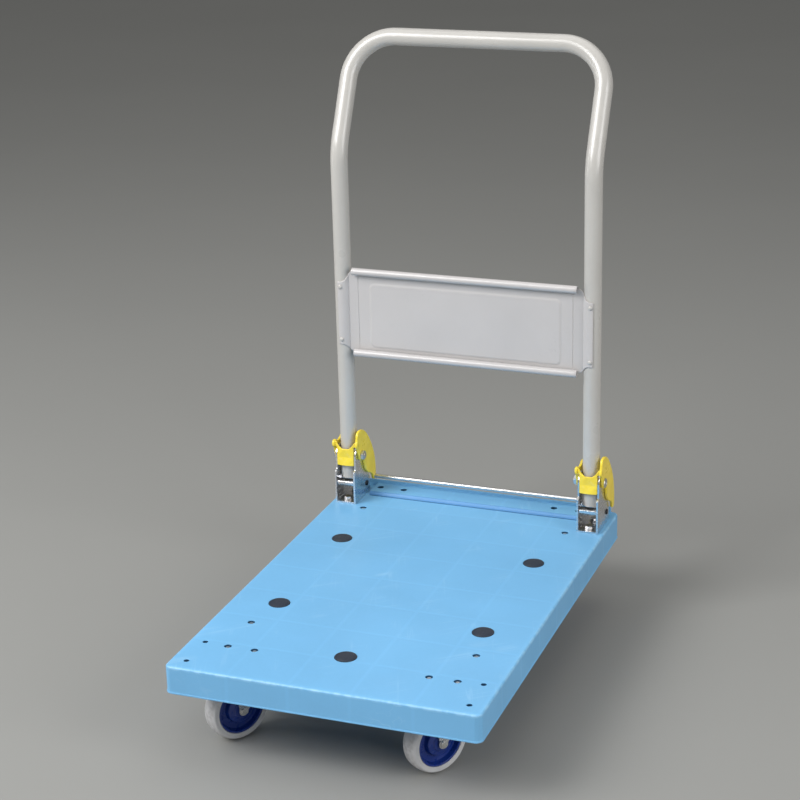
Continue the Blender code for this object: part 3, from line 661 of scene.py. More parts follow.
def moulded_finish(name, colour, low, high, light, grain=900, depth=0.00012):
    """Moulded plastic with a flow pattern, fine texture and rubbed spots."""
    look = Shader(name, colour, low)
    flow = look.span(look.noise(38, 4, distortion=1.2), 0.3, 0.7)
    rubbed = look.span(look.noise(130, 5), 0.58, 0.72)
    scuff = look.scratches(90, (0.5, 0.2, 0.4), 0.014)
    look.mottle(flow, 0.07)
    look.tint(rubbed, 0.3, light)
    look.tint(scuff, 0.3, light)
    rough = look.span(look.noise(60, 5), 0.3, 0.7, low, high)
    look.roughness(look.maths("ADD", rough, look.times(rubbed, 0.12), clamp=True))
    look.bump(look.noise(grain, 2), depth, 0.35)
    look.bump(scuff, -0.00004, 0.4)


def tyre_finish():
    """Grey elastomer: fine turned lines round the wheel and a slightly dirty tread."""
    colour = (0.58, 0.58, 0.59)
    look = Shader("tyre_elastomer", colour, 0.55)
    across = look.axis(0)
    flat = look.node("ShaderNodeMapping", {"Vector": look.place, "Scale": (0, 1, 1)}).outputs[0]
    out = look.node("ShaderNodeVectorMath", {0: flat}, operation="LENGTH").outputs["Value"]
    tread = look.span(out, WHEEL_RADIUS - 0.0024, WHEEL_RADIUS - 0.0006)
    dirt = look.span(look.noise(120, 5, distortion=0.4), 0.4, 0.66)
    lines = look.maths("SINE", look.times(across, 9000))
    mottle = look.span(look.noise(45, 4), 0.3, 0.7)
    look.mottle(mottle, 0.06)
    look.tint(look.times(tread, dirt), 0.38, (0.19, 0.18, 0.17))
    look.roughness(look.span(look.noise(80, 4), 0.3, 0.7, 0.46, 0.66))
    look.bump(look.times(lines, tread), 0.00006, 0.5)
    look.bump(look.noise(1100, 3), 0.00016, 0.45)


def floor_finish():
    colour = (0.295, 0.295, 0.283)
    look = Shader("studio_floor", colour, 0.62)
    cloud = look.span(look.noise(1.3, 4), 0.3, 0.7)
    look.mottle(cloud, 0.015)
    look.bump(look.noise(180, 4), 0.0004, 0.15)
    behind = look.node("ShaderNodeNewGeometry").outputs["Backfacing"]
    clear = look.node("ShaderNodeBsdfTransparent").outputs[0]
    blend = look.node("ShaderNodeMixShader", {0: behind, 1: look.principled.outputs[0], 2: clear})
    look.tree.links.new(blend.outputs[0], look.tree.nodes["Material Output"].inputs["Surface"])


def make_finishes():
    """Makes the material of every slot, named after it."""
    deck_finish()
    pad_finish()
    tyre_finish()
    paint_finish("handle_paint", (0.505, 0.49, 0.462), 0.31)
    paint_finish("panel_paint", (0.53, 0.51, 0.505), 0.34)
    metal_finish("bracket_plating", (0.83, 0.83, 0.85), (0.66, 0.65, 0.64), 0.16, 0.32, 90)
    metal_finish("zinc_plating", (0.74, 0.75, 0.77), (0.6, 0.57, 0.5), 0.2, 0.4, 160)
    metal_finish("black_steel", (0.035, 0.035, 0.04), (0.02, 0.02, 0.02), 0.28, 0.46, 220)
    moulded_finish("pedal_plastic", (0.93, 0.71, 0.055), 0.26, 0.42, (0.95, 0.84, 0.34))
    moulded_finish("core_plastic", (0.006, 0.03, 0.215), 0.22, 0.36, (0.03, 0.09, 0.36))


# Pieces


def show(node, mesh, place=ORIGIN, body="chassis", slot="zinc_plating", turn=0, bevel=0, sharp=35):
    """Adds a finished piece that stands for a CAD node and moves with its body."""
    piece = add_object(f"{node}_fine", mesh)
    if not mesh.materials:
        mesh.materials.append(FINISHES[slot])
    mesh.materials[0] = FINISHES[slot]
    mesh.shade_smooth()
    mesh.set_sharp_from_angle(angle=math.radians(sharp))
    piece.matrix_world = Matrix.Translation(place) @ Matrix.Rotation(math.radians(turn), 4, "Z")
    if bevel:
        round_off = piece.modifiers.new("round_off", "BEVEL")
        round_off.width = bevel
        round_off.segments = 3
        round_off.limit_method = "ANGLE"
        round_off.angle_limit = math.radians(38)
        round_off.miter_outer = "MITER_ARC"
    shading = piece.modifiers.new("shading", "WEIGHTED_NORMAL")
    shading.keep_sharp = True
    shading.weight = 90
    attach(piece, body)
    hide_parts(node)
    return piece


def caster_places():
    places = []
    for end, from_front in CASTER_FROM_FRONT.items():
        for side, sign in SIDES:
            places.append((end, side, Vector((sign * CASTER_X, FRONT_Y + from_front, 0))))
    return places


def stud_places(place):
    """The three fixing points of a caster: two towards the deck's end, one outside."""
    outward = math.copysign(STUD_X, place.x)
    endward = math.copysign(STUD_Y, place.y)
    return [(place.x + a * outward, place.y + b * endward) for a, b in ((-1, 1), (1, 1), (1, -1))]


# Deck


def deck_shell():
    outline = rounded_rectangle(DECK_HALF + DECK_LIP, FRONT_Y - DECK_LIP, REAR_Y + DECK_LIP,
                                DECK_CORNER + DECK_LIP)
    lip_top = DECK_BOTTOM + DECK_LIP_HEIGHT
    levels = [(0.0008, DECK_BOTTOM), (0.0003, DECK_BOTTOM + 0.0003), (0, DECK_BOTTOM + 0.0008),
              (0, lip_top - 0.0008), (0.0002, lip_top - 0.0003), (DECK_LIP, lip_top)]
    for step in range(9):
        angle = math.pi / 2 * step / 8
        inwards = DECK_LIP + DECK_EDGE * (1 - math.cos(angle))
        levels.append((inwards, DECK_TOP - DECK_EDGE * (1 - math.sin(angle))))
    levels.append((DECK_LIP + DECK_EDGE + 0.0015, DECK_TOP))
    return stacked(outline, "Z", levels)


def deck_pockets():
    """The hollow under the skin, less the ribs and blocks."""
    half = DECK_HALF - DECK_WALL
    front = FRONT_Y + DECK_WALL
    rear = REAR_Y - DECK_WALL
    top = DECK_TOP - DECK_SKIN
    over = top + 0.005
    inside = rounded_rectangle(half, front, rear, DECK_CORNER - DECK_WALL, 6)
    solids = []
    for column in range(1, RIB_COLUMNS + 1):
        x = -half + 2 * half * column / (RIB_COLUMNS + 1)
        solids.append(box(x, RIB_THICKNESS / 2, front - 0.01, rear + 0.01, RIB_LOW, over))
    for row in range(1, RIB_ROWS + 1):
        y = front + (rear - front) * row / (RIB_ROWS + 1)
        solids.append(box(0, half + 0.01, y - RIB_THICKNESS / 2, y + RIB_THICKNESS / 2, RIB_LOW, over))
    for _, _, place in caster_places():
        solids.append(box(place.x, 0.052, place.y - 0.062, place.y + 0.062, BOSS_BOTTOM, over + 0.001))
    for _, sign in SIDES:
        ends = (PIVOT_Y - 0.028, PIVOT_Y + 0.045)
        solids.append(box(sign * LEG_X, 0.019, *ends, BOSS_BOTTOM + 0.003, over + 0.002))
    return cut(prism(inside, "Z", DECK_BOTTOM - 0.005, top), solids)


def rear_strip():
    """The raised band between the brackets, with soft front and top edges."""
    front = REAR_Y - STRIP_DEPTH
    rear = REAR_Y - 0.0012
    top = DECK_TOP + STRIP_RISE
    section = [(front - 0.0022, DECK_TOP - 0.002), (rear, DECK_TOP - 0.002)]
    section += arc((rear - 0.002, top - 0.002), 0.002, 0, 90, 5)
    section += arc((front + 0.003, top - 0.0016), 0.0016, 90, 150, 5)
    section += arc((front - 0.0022, DECK_TOP + 0.0012), 0.0012, 10, -90, 4)[:4]
    return prism(section, "X", -STRIP_HALF_WIDTH, STRIP_HALF_WIDTH)


def rear_lip():
    """The low upstand along the rear edge of the raised band."""
    rear = REAR_Y - 0.0016
    front = rear - LIP_DEPTH
    inside = DECK_TOP - 0.001
    top = DECK_TOP + STRIP_RISE + LIP_RISE
    section = [(front - 0.002, inside), (rear, inside)]
    section += arc((rear - 0.0016, top - 0.0016), 0.0016, 0, 90, 5)
    section += arc((front + 0.0018, top - 0.0014), 0.0014, 90, 160, 5)
    return prism(section, "X", -LIP_HALF_WIDTH, LIP_HALF_WIDTH)


def strip_groove():
    """The narrow moulded groove in front of the raised band."""
    front = REAR_Y - STRIP_DEPTH
    return box(0, STRIP_HALF_WIDTH - 0.001, front - 0.0052, front - 0.0022,
               DECK_TOP - 0.0014, DECK_TOP + 0.004)


def hole_tool(spot, radius, floor, surface):
    """A drill shape whose top flares, which rounds the rim of its hole."""
    rim = 0.0009
    profile = [(radius, floor)]
    for step in range(4):
        angle = math.pi / 2 * step / 3
        profile.append((radius + rim * (1 - math.cos(angle)), surface - rim + rim * math.sin(angle)))
    profile.append((radius + rim, surface + 0.006))
    return moved(turned(profile, 32, axis="Z"), (*spot, 0))


def deck_holes():
    tools = []
    for x, from_front in PAD_PLACES:
        tools.append(hole_tool((x, FRONT_Y + from_front), PAD_RADIUS, DECK_TOP - PAD_RECESS, DECK_TOP))
    strip_front = REAR_Y - STRIP_DEPTH
    for _, _, place in caster_places():
        for spot in stud_places(place):
            raised = spot[1] > strip_front and abs(spot[0]) < STRIP_HALF_WIDTH
            surface = DECK_TOP + (STRIP_RISE if raised else 0)
            tools.append(hole_tool(spot, STUD_HOLE, BOSS_BOTTOM - 0.005, surface))
    for x, from_front in SMALL_HOLES:
        tools.append(hole_tool((x, FRONT_Y + from_front), SMALL_HOLE_RADIUS, DECK_TOP - 0.02, DECK_TOP))
    return tools


def build_deck():
    mesh = cut(deck_shell(), [deck_pockets()])
    mesh = union(mesh, [rear_strip(), rear_lip()])
    mesh = cut(mesh, deck_holes() + [strip_groove()])
    show("deck", mesh, slot="deck_plastic", sharp=24)


def build_pads():
    low = DECK_TOP - PAD_RECESS + GAP
    high = DECK_TOP + PAD_PROUD
    radius = PAD_RADIUS - GAP
    profile = [(radius, low), (radius, high - 0.0006), (radius - 0.0002, high - 0.0002)]
    profile += [(radius - 0.0007, high), (radius - 0.002, high), (radius - 0.0024, high - 0.0005)]
    profile += [(radius - 0.0034, high - 0.0005), (radius - 0.0038, high)]
    profile += [(0.006, high + 0.0001), (0.001, high + 0.0001)]
    mesh = turned(profile, 64, axis="Z")
    for number, (x, from_front) in enumerate(PAD_PLACES, start=1):
        show(f"deck_pad_{number}", mesh, (x, FRONT_Y + from_front, 0), slot="pad_rubber")


# Handle


def build_tube():
    foot = -TUBE_BELOW_PIVOT
    kink = KINK_Z - PIVOT_Z
    grip_y = GRIP_FROM_FRONT - LEG_FROM_FRONT
    grip_z = GRIP_Z - PIVOT_Z
    corners = [(-LEG_X, 0, foot), (-LEG_X, 0, kink), (-LEG_X, grip_y, grip_z),
               (LEG_X, grip_y, grip_z), (LEG_X, 0, kink), (LEG_X, 0, foot)]
    path = filleted(corners, [KINK_CORNER, GRIP_CORNER, GRIP_CORNER, KINK_CORNER], 22)
    mesh = swept(path, TUBE_RADIUS, 48, (1, 0, 0), TUBE_RADIUS - TUBE_WALL)
    show("handle_tube", mesh, (0, PIVOT_Y, PIVOT_Z), "handle", "handle_paint", bevel=0.0003)


def smoothstep(low, high, value):
    share = min(1, max(0, (value - low) / (high - low)))
    return share * share * (3 - 2 * share)


def field_depth(x, z):
    """How far the sheet stands forward: the raised field, less the end grooves."""
    half_height = (FIELD_HIGH_Z - FIELD_LOW_Z) / 2
    across = abs(x) - (FIELD_HALF_WIDTH - FIELD_CORNER)
    up = abs(z - (FIELD_HIGH_Z + FIELD_LOW_Z) / 2) - (half_height - FIELD_CORNER)
    outside = math.hypot(max(across, 0), max(up, 0)) + min(max(across, up), 0) - FIELD_CORNER
    raised = FIELD_RISE * smoothstep(0.0026, -0.0014, outside)
    groove = smoothstep(0.0012, 0.0003, abs(abs(x) - GROOVE_X))
    inside = smoothstep(PANEL_LOW_Z + 0.01, PANEL_LOW_Z + 0.014, z) * smoothstep(
        PANEL_HIGH_Z - 0.01, PANEL_HIGH_Z - 0.014, z)
    return raised - GROOVE_DEPTH * groove * inside


def panel_stations():
    """Places across the sheet, closer together where its shape changes."""
    stations = [PANEL_HALF_WIDTH - 0.006]
    for middle, reach, step in ((GROOVE_X, 0.0016, 0.0002), (FIELD_HALF_WIDTH, 0.01, 0.0007)):
        steps = round(2 * reach / step)
        stations += [middle + reach - step * index for index in range(steps + 1)]
    stations += [0.15 - 0.01 * index for index in range(16)]
    return sorted({round(sign * x, 6) for x in stations for sign in (-1, 1)})


def panel_sheet():
    """The pressed sheet: rolled long edges, a raised field, and ends that run onto the tube."""
    low = PANEL_LOW_Z + CURL_RADIUS
    high = PANEL_HIGH_Z - CURL_RADIUS
    rows = [low + (high - low) * row / PANEL_ROWS for row in range(PANEL_ROWS + 1)]
    roll_y = -PANEL_FORWARD - CURL_RADIUS
    bottom = arc((roll_y, rows[0]), CURL_RADIUS, -290, -8, 20)
    top = arc((roll_y, rows[-1]), CURL_RADIUS, 8, 290, 20)
    work = bmesh.new()
    columns = []
    for x in panel_stations():
        middle = [(-PANEL_FORWARD - field_depth(x, z), z) for z in rows]
        columns.append([work.verts.new((x, y, z)) for y, z in bottom + middle + top])
    for first, second in zip(columns, columns[1:]):
        bridge(work, first, second, False)
    for sign, edge in ((-1, columns[0]), (1, columns[-1])):
        add_wing(work, sign, edge[len(bottom):len(bottom) + len(rows)], rows)
    return finish_mesh(work)


def add_wing(work, sign, edge, rows):
    """One end of the sheet: it narrows in a curve and wraps round the front of the tube."""
    wrap = TUBE_RADIUS + GAP + PANEL_SHEET / 2
    start = 180 + math.degrees(math.asin(PANEL_FORWARD / wrap))
    line = [(PANEL_HALF_WIDTH - 0.006 + 0.0015 * index, -PANEL_FORWARD) for index in range(5)]
    line += arc((LEG_X, 0), wrap, start, 270 + TAB_PAST_FRONT, 24)
    travelled = 0
    for before, (x, y) in zip(line, line[1:]):
        travelled += math.dist(before, (x, y))
        narrowing = 1 - (1 - smoothstep(0.002, 0.026, travelled)) ** 1.6
        low = rows[0] + (TAB_LOW_Z - rows[0]) * narrowing
        high = rows[-1] + (TAB_HIGH_Z - rows[-1]) * narrowing
        steps = len(rows) - 1
        column = [work.verts.new((sign * x, y, low + (high - low) * step / steps))
                  for step in range(steps + 1)]
        bridge(work, edge, column, False)
        edge = column


def build_panel():
    panel = show("handle_panel", panel_sheet(), (0, PIVOT_Y, 0), "handle", "panel_paint")
    sheet = panel.modifiers.new("sheet", "SOLIDIFY")
    sheet.thickness = PANEL_SHEET
    sheet.offset = 0
    panel.modifiers.move(1, 0)
    face = -(TUBE_RADIUS + GAP + PANEL_SHEET + GAP)
    profile = [(0.0016, face + 0.006), (0.0016, face), (0.0036, face), (0.0035, face - 0.0007),
               (0.0029, face - 0.0013), (0.0018, face - 0.0018), (0.0006, face - 0.002)]
    rivet = turned(profile, 32, axis="Y")
    for side, sign in SIDES:
        for level, height in zip(("lower", "upper"), RIVET_Z):
            place = (sign * LEG_X, PIVOT_Y, height)
            show(f"panel_rivet_{side}_{level}", rivet, place, "handle", "handle_paint")


# Brackets


def cheek_outline():
    foot = DECK_TOP + GAP - PIVOT_Z
    outline = [(-0.0245, foot), (-0.0245, -0.0255), (-0.0228, -0.0238), (-0.018, -0.0218)]
    outline += arc((0, 0), LOBE_RADIUS, 180, 0, 32)
    outline += [(0.0215, -0.018), (0.031, -0.04), (0.04, -0.05), (0.044, -0.058), (0.044, foot)]
    return outline


def bracket_mesh():
    foot = DECK_TOP + GAP - PIVOT_Z
    base = box(0, CHEEK_INNER + 0.001, -0.0245, 0.044, foot, foot + BASE_THICKNESS)
    left = prism(cheek_outline(), "X", -CHEEK_OUTER, -CHEEK_INNER)
    right = prism(cheek_outline(), "X", CHEEK_INNER, CHEEK_OUTER)
    mesh = union(base, [left, right])
    bolt_holes = [rod("Z", (0, y), BASE_BOLT_SHANK + GAP, foot - 0.005, foot + 0.01) for y in BASE_BOLT_Y]
    return cut(mesh, bolt_holes)


def stop_bar_mesh():
    outline = rounded_rectangle(CHEEK_INNER - GAP, -0.023, -0.007, 0.0015, 4)
    return plate(outline, "Z", -0.049, -0.0431, 0.0012, 4)


def base_bolt_mesh():
    low = DECK_TOP + GAP + BASE_THICKNESS + GAP
    washer = plate(circle((0, 0), 0.0078, 40), "Z", low, low + 0.001, 0.0003, 2)
    head = hex_head("Z", 0.012, low + 0.001, low + 0.0056)
    shank = rod("Z", (0, 0), BASE_BOLT_SHANK, DECK_TOP - 0.019, low)
    return joined([washer, head, shank])


def pivot_bolt_mesh(sign):
    face = PEDAL_OUTER + GAP
    dome = [(0.008, 0), (0.0081, 0.0004), (0.0079, 0.0009), (0.0071, 0.0016), (0.0056, 0.0022)]
    dome += [(0.0036, 0.0026), (0.003, 0.0025), (0.0028, 0.0018), (0.0012, 0.0017)]
    profile = [(BOLT_SHANK, -sign * (face + 0.0062)), (BOLT_SHANK, sign * face)]
    profile += [(radius, sign * (face + out)) for radius, out in dome]
    return turned(profile, 48)


def pivot_nut_mesh(sign):
    face = PEDAL_OUTER + GAP
    return hex_head("X", 0.015, -sign * face, -sign * (face + 0.005), BOLT_SHANK + 0.0001)


def build_brackets():
    bracket = bracket_mesh()
    bar = stop_bar_mesh()
    bolt = base_bolt_mesh()
    for side, sign in SIDES:
        place = (sign * LEG_X, PIVOT_Y, PIVOT_Z)
        show(f"bracket_{side}", bracket, place, slot="bracket_plating", bevel=0.0005)
        show(f"bracket_stop_bar_{side}", bar, place, slot="bracket_plating")
        for where, y in zip(("front", "rear"), BASE_BOLT_Y):
            show(f"bracket_bolt_{side}_{where}", bolt, (sign * LEG_X, PIVOT_Y + y, 0), bevel=0.0002)
        show(f"pivot_bolt_{side}", pivot_bolt_mesh(sign), place)
        show(f"pivot_nut_{side}", pivot_nut_mesh(sign), place, bevel=0.0002)


# Release pedals


def pedal_outline(edge):
    """A cheek of the pedal: its outer edge, the rod's eye, its inner edge and the boss."""
    inner = [(0.048, -0.0535), (0.04, -0.048), (0.03, -0.044), (0.021, -0.036), (0.0155, -0.027)]
    boss = arc((0, 0), 0.0092, 200, 325, 12)
    outline = edge + arc(ROD_PLACE, 0.006, 10, -130, 8) + inner + [(0.0125, -0.015)] + boss[::-1]
    return softened(outline + [(-0.0125, 0.008), (-0.015, 0.015)], 3)


def pedal_lever_edge():
    """The tall cheek: a lobe that rises behind the tube."""
    edge = [(-0.0208, 0.019), (-0.0208, 0.025), (-0.0175, 0.031), (-0.016, 0.04), (-0.012, 0.045)]
    edge += [(-0.004, 0.0465), (0.008, 0.044), (0.02, 0.037), (0.033, 0.024), (0.046, 0.006)]
    return edge + [(0.056, -0.013), (0.061, -0.03), (0.063, -0.048)]


def pedal_low_edge():
    """The low cheek: an ear in front and a plain edge behind."""
    edge = [(-0.0208, 0.019), (-0.0208, 0.0262), (-0.0185, 0.029), (-0.012, 0.0292), (-0.0075, 0.0262)]
    edge += [(-0.001, 0.0225), (0.01, 0.024), (0.02, 0.029), (0.029, 0.0265), (0.044, 0.006)]
    return edge + [(0.0545, -0.013), (0.06, -0.03), (0.0625, -0.048)]


def band_mesh():
    """The bowed band across the front of the tube, with a notch for the tube."""
    inner = PEDAL_BAND_HALF
    outer = PEDAL_OUTER
    right = [(inner, -0.015), (inner, 0.019), (outer, 0.019), (outer, 0.025), (outer - 0.0035, 0.0275)]
    right += [(0.0165, 0.027), (0.012, 0.02), (0.006, 0.0152)]
    outline = [(-inner, -0.015)] + right + [(-x, z) for x, z in reversed(right[1:])]
    fine = []
    for index, point in enumerate(outline):
        after = Vector(outline[(index + 1) % len(outline)])
        steps = max(1, round((after - Vector(point)).length / 0.003))
        fine += [tuple(Vector(point).lerp(after, step / steps)) for step in range(steps)]
    front = PEDAL_BAND_BACK - PEDAL_BAND_SHEET - 0.0004
    work = bmesh.new()
    work.from_mesh(plate(softened(fine, 2), "Y", front, PEDAL_BAND_BACK, 0.0009, 4))
    bmesh.ops.triangulate(work, faces=[face for face in work.faces if len(face.verts) > 4])
    for vertex in work.verts:
        vertex.co.y += BAND_BOW * vertex.co.x ** 2
    return finish_mesh(work)


def tread_line():
    corners = [(0.029, 0.0235), (0.0425, 0.005), (0.0525, -0.014), (0.0573, -0.03), (0.059, -0.047)]
    line = []
    for start, end in zip(corners, corners[1:]):
        line += [tuple(Vector(start).lerp(Vector(end), step / 5)) for step in range(5)]
    return line + [corners[-1]]


def pedal_mesh():
    pieces = [plate(pedal_outline(pedal_low_edge()), "X", -PEDAL_OUTER, -PEDAL_INNER, 0.0013, 4),
              plate(pedal_outline(pedal_lever_edge()), "X", PEDAL_INNER, PEDAL_OUTER, 0.0013, 4)]
    inner = PEDAL_INNER + 0.001
    line = tread_line()
    pieces.append(prism(ribbon(line, 0.004), "X", -inner, inner))
    pieces.append(band_mesh())
    for index in range(3, len(line) - 2, 2):
        along = (Vector(line[index + 1]) - Vector(line[index - 1])).normalized()
        spot = Vector(line[index]) + Vector((-along.y, along.x)) * 0.0019
        rib = plate(circle((0, 0), 0.0011, 16), "X", 0.002 - inner, inner - 0.002, 0.0005, 2)
        pieces.append(moved(rib, (0, spot.x, spot.y)))
    return joined(pieces)


def build_pedals():
    mesh = pedal_mesh()
    for side, sign in SIDES:
        show(f"release_pedal_{side}", mesh, (sign * LEG_X, PIVOT_Y, PIVOT_Z), "pedals", "pedal_plastic")
    bar = plate(circle((0, 0), ROD_RADIUS, 40), "X", -ROD_HALF_LENGTH, ROD_HALF_LENGTH, 0.0006, 3)
    show("pedal_link_rod", bar, (0, PIVOT_Y + ROD_PLACE[0], PIVOT_Z + ROD_PLACE[1]), "pedals")


def pawl_outline():
    outline = arc((0, 0), 0.0062, 180, 360, 14)
    outline += [(0.0056, 0.006), (0.002, 0.016), (-0.003, 0.0225), (-0.009, 0.0245), (-0.0112, 0.0225)]
    outline += [(-0.008, 0.015), (-0.0062, 0.006)]
    return outline


def spring_path():
    """A return spring of three turns round the pawl's pin, with two straight ends."""
    steps = 96
    radius = 0.0046
    start = PAWL_HALF_WIDTH + 0.0018
    length = 0.0062
    path = [Vector((start, radius, -0.011))]
    for step in range(steps + 1):
        angle = -6 * math.pi * step / steps
        along = start + length * step / steps
        path.append(Vector((along, radius * math.cos(angle), radius * math.sin(angle))))
    path.append(Vector((start + length, radius, 0.011)))
    return path


def build_latches():
    pawl = plate(softened(pawl_outline(), 2), "X", -PAWL_HALF_WIDTH, PAWL_HALF_WIDTH, 0.0006)
    head = CHEEK_OUTER + GAP
    half = [(PAWL_PIN_RADIUS, head), (0.0046, head), (0.0047, head + 0.0006), (0.0042, head + 0.0013)]
    pin = turned(both_sides(half + [(0.003, head + 0.0017), (0.0008, head + 0.0018)]), 40)
    spring = swept(spring_path(), 0.0006, 10, (1, 0, 0))
    for side, sign in SIDES:
        place = (sign * LEG_X, PIVOT_Y + PAWL_PIN_PLACE[0], PIVOT_Z + PAWL_PIN_PLACE[1])
        show(f"latch_pawl_{side}", pawl, place, f"latch_{side}")
        show(f"latch_pin_{side}", pin, place, slot="black_steel")
        show(f"latch_spring_{side}", spring, place)


# Casters


def tyre_mesh():
    section = [(0.0388, 0.0016), (0.0392, 0.0004), (0.0402, 0), (0.0412, 0.0003), (0.0422, 0.0006)]
    section += [(0.044, 0.0004), (0.0458, 0.0003), (0.047, 0.001), (0.0477, 0.002), (0.0482, 0.0034)]
    section += [(0.049, 0.0046), (0.0494, 0.0066), (0.0498, 0.01), (WHEEL_RADIUS, 0.013)]
    half = [(radius, TYRE_HALF - down) for radius, down in section]
    return turned(both_sides(half[::-1]), 128, solid=False)


def core_mesh():
    """The moulded wheel centre: rim, web with a step, and a wide hub."""
    rim = TYRE_HALF - 0.001
    half = [(CORE_RADIUS, rim - 0.0004), (0.0378, rim), (0.0362, rim), (0.0357, rim - 0.0003),
            (0.0352, 0.0126)]
    half += [(0.0345, 0.0064), (0.0338, 0.0054), (0.0325, 0.005), (0.025, 0.005), (0.0238, 0.0054)]
    half += [(0.023, 0.0066), (0.0221, 0.0108), (0.0216, 0.0122), (0.0205, 0.013), (0.015, 0.0144)]
    half += [(0.014, 0.015), (0.013, HUB_HALF_WIDTH - 0.0008), (0.0127, HUB_HALF_WIDTH - 0.0003)]
    half += [(0.0122, HUB_HALF_WIDTH), (AXLE_RADIUS + 0.00035, HUB_HALF_WIDTH)]
    return turned(both_sides(half), 96, solid=False)


def fork_mesh(trail, top):
    """Two legs that narrow to the axle, under a crown that is bored if the fork swivels."""
    outer = FORK_INNER + FORK_SHEET
    back, front = SWIVEL_FORK_Y if trail else FIXED_FORK_Y
    low_ends = (0.09, top - 0.008) if trail else (top - 0.012, top - 0.012)
    leg = [(back, low_ends[0]), (back, top), (front, top), (front, low_ends[1])]
    leg += arc((-trail, WHEEL_RADIUS), FORK_END_RADIUS, *((-35, -178) if trail else (-15, -165)), 20)
    mesh = box(0, FORK_INNER + 0.001, back, front, top - CROWN_SHEET, top)
    mesh = union(mesh, [prism(leg, "X", -outer, -FORK_INNER), prism(leg, "X", FORK_INNER, outer)])
    if trail:
        mesh = cut(mesh, [rod("Z", (0, 0), 0.0088, top - 0.01, top + 0.01)])
    return mesh


def stud_mesh(low):
    """A threaded stud: rings of thread above a plain root, with a chamfered tip."""
    profile = [(STUD_RADIUS, low)]
    z = PLATE_TOP + 0.008
    while z < STUD_TOP - 0.0025:
        profile += [(STUD_RADIUS - 0.0005, z), (STUD_RADIUS, z + 0.00045), (STUD_RADIUS - 0.0005, z + 0.0009)]
        z += 0.00125
    profile += [(STUD_RADIUS, STUD_TOP - 0.001), (STUD_RADIUS - 0.001, STUD_TOP)]
    return turned(profile, 24, axis="Z")


def plate_mesh(place, swivels):
    low = PLATE_TOP - PLATE_THICKNESS
    pieces = [plate(rounded_rectangle(0.038, -0.052, 0.052, 0.006, 8), "Z", low, PLATE_TOP, 0.0005)]
    for x, y in stud_places(place):
        pieces.append(moved(stud_mesh(low + 0.001), (x - place.x, y - place.y, 0)))
        weld = [(0.0072, low + 0.001), (0.0072, low - 0.0004), (0.006, low - 0.0012), (0.002, low - 0.0015)]
        pieces.append(moved(turned(weld, 24, axis="Z"), (x - place.x, y - place.y, 0)))
    if swivels:
        head = SWIVEL_CROWN_TOP - CROWN_SHEET - GAP
        profile = [(0.0085, low + 0.001), (0.0085, head), (0.0118, head), (0.012, head - 0.0008)]
        profile += [(0.0112, head - 0.0024), (0.0085, head - 0.0031), (0.0045, head - 0.0032)]
        profile += [(0.004, head - 0.0026), (0.001, head - 0.0026)]
        pieces.append(turned(profile, 40, axis="Z"))
    return joined(pieces)


def race_mesh():
    low = SWIVEL_CROWN_TOP + GAP
    high = PLATE_TOP - PLATE_THICKNESS - GAP
    middle = (low + high) / 2
    profile = [(0.0092, low), (0.019, low), (0.0222, low + 0.0008), (0.025, middle - 0.0018)]
    profile += [(0.026, middle - 0.0006), (0.0262, middle + 0.0012), (0.0256, middle + 0.0028)]
    profile += [(0.024, high), (0.0092, high)]
    return turned(profile, 64, axis="Z", solid=False)


def axle_bolt_mesh():
    face = FORK_INNER + FORK_SHEET + GAP
    washer = plate(circle((0, 0), 0.008, 40), "X", face, face + 0.0008, 0.00025, 2)
    head = hex_head("X", 0.011, face + 0.0008, face + 0.004)
    stem = plate(circle((0, 0), AXLE_RADIUS, 32), "X", -face - 0.0056, face, 0.0006, 2)
    return joined([washer, head, stem])


def axle_nut_mesh():
    face = FORK_INNER + FORK_SHEET + GAP
    return hex_head("X", 0.013, -face, -face - 0.0045, AXLE_RADIUS + 0.0001)


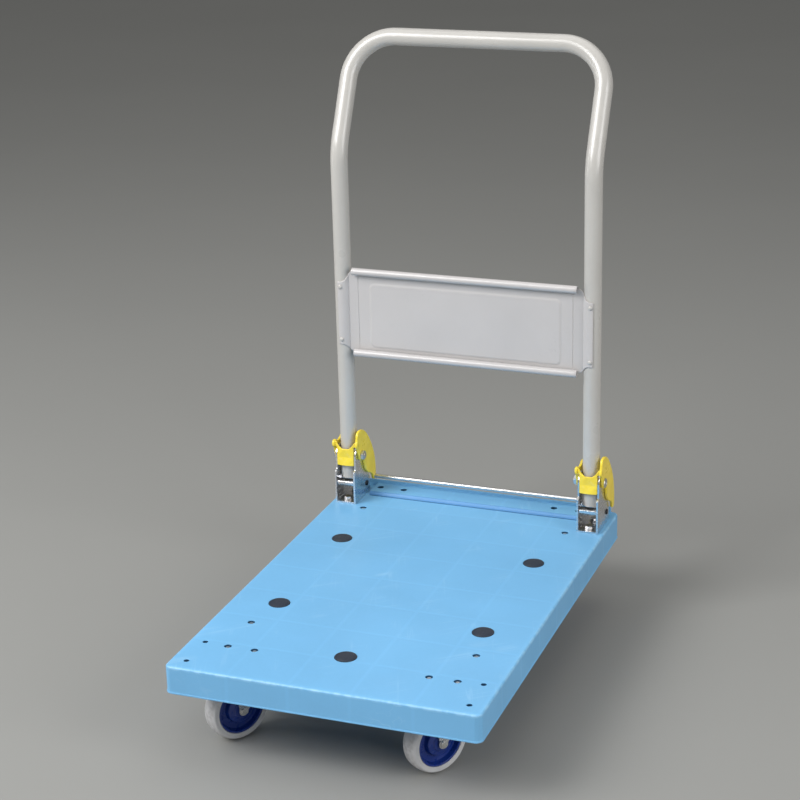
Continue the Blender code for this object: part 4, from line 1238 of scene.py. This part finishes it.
def build_casters():
    tyre = tyre_mesh()
    core = core_mesh()
    race = race_mesh()
    bolt = axle_bolt_mesh()
    nut = axle_nut_mesh()
    forks = {"front": fork_mesh(CASTER_TRAIL, SWIVEL_CROWN_TOP),
             "rear": fork_mesh(0, PLATE_TOP - PLATE_THICKNESS - GAP)}
    for end, side, place in caster_places():
        swivels = end == "front"
        name = f"{end}_{side}"
        holder = f"swivel_{side}" if swivels else "chassis"
        turn = CASTER_TURN if swivels else 0
        back = Vector((0, -CASTER_TRAIL if swivels else 0, WHEEL_RADIUS))
        axle = place + Matrix.Rotation(math.radians(turn), 3, "Z") @ back
        show(f"caster_plate_{name}", plate_mesh(place, swivels), place)
        show(f"caster_fork_{name}", forks[end], place, holder, turn=turn, bevel=0.0007)
        if swivels:
            show(f"caster_race_{name}", race, place, holder, turn=turn)
        show(f"axle_bolt_{name}", bolt, axle, holder, turn=turn, bevel=0.0002)
        show(f"axle_nut_{name}", nut, axle, holder, turn=turn, bevel=0.0002)
        show(f"wheel_core_{name}", core, axle, f"wheel_{name}", "core_plastic", turn)
        show(f"wheel_tyre_{name}", tyre, axle, f"wheel_{name}", "tyre_elastomer", turn)


# Stage


def add_camera():
    data = bpy.data.cameras.new("camera")
    data.lens = CAMERA_LENS
    data.sensor_width = CAMERA_SENSOR
    camera = add_object("camera", data)
    aim = Matrix.Rotation(CAMERA_AZIMUTH, 4, "Z") @ Matrix.Rotation(math.pi / 2 - CAMERA_ELEVATION, 4, "X")
    camera.matrix_world = Matrix.Translation(CAMERA_PLACE) @ aim @ Matrix.Rotation(CAMERA_ROLL, 4, "Z")
    bpy.context.scene.camera = camera


def add_light(name, place, aim, size, power):
    data = bpy.data.lights.new(name, "AREA")
    data.shape = "RECTANGLE"
    data.size, data.size_y = size
    data.energy = power
    light = add_object(name, data)
    light.location = place
    light.rotation_euler = (Vector(aim) - Vector(place)).to_track_quat("-Z", "Y").to_euler()


def add_world():
    world = bpy.data.worlds.new("studio")
    bpy.context.scene.world = world
    world.use_nodes = True
    tree = world.node_tree
    background = tree.nodes["Background"]
    background.inputs["Strength"].default_value = SKY_STRENGTH
    height = tree.nodes.new("ShaderNodeSeparateXYZ")
    ramp = tree.nodes.new("ShaderNodeValToRGB")
    for element, (position, grey) in zip(ramp.color_ramp.elements, SKY_RAMP):
        element.position = position
        element.color = grey
    tree.links.new(tree.nodes.new("ShaderNodeTexCoord").outputs["Generated"], height.inputs[0])
    tree.links.new(height.outputs[2], ramp.inputs[0])
    tree.links.new(ramp.outputs[0], background.inputs["Color"])


def add_floor():
    work = bmesh.new()
    bmesh.ops.create_grid(work, x_segments=2, y_segments=2, size=30)
    floor = add_object("studio_floor", finish_mesh(work))
    floor_finish()
    floor.data.materials.append(FINISHES["studio_floor"])


def build():
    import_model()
    make_finishes()
    for make in (build_deck, build_pads, build_tube, build_panel, build_brackets, build_pedals, build_latches,
                 build_casters, add_floor, add_world, add_camera):
        make()
    for light in LIGHTS:
        add_light(*light)
    bpy.context.scene.view_settings.view_transform = "Standard"
    bpy.context.view_layer.update()


build()
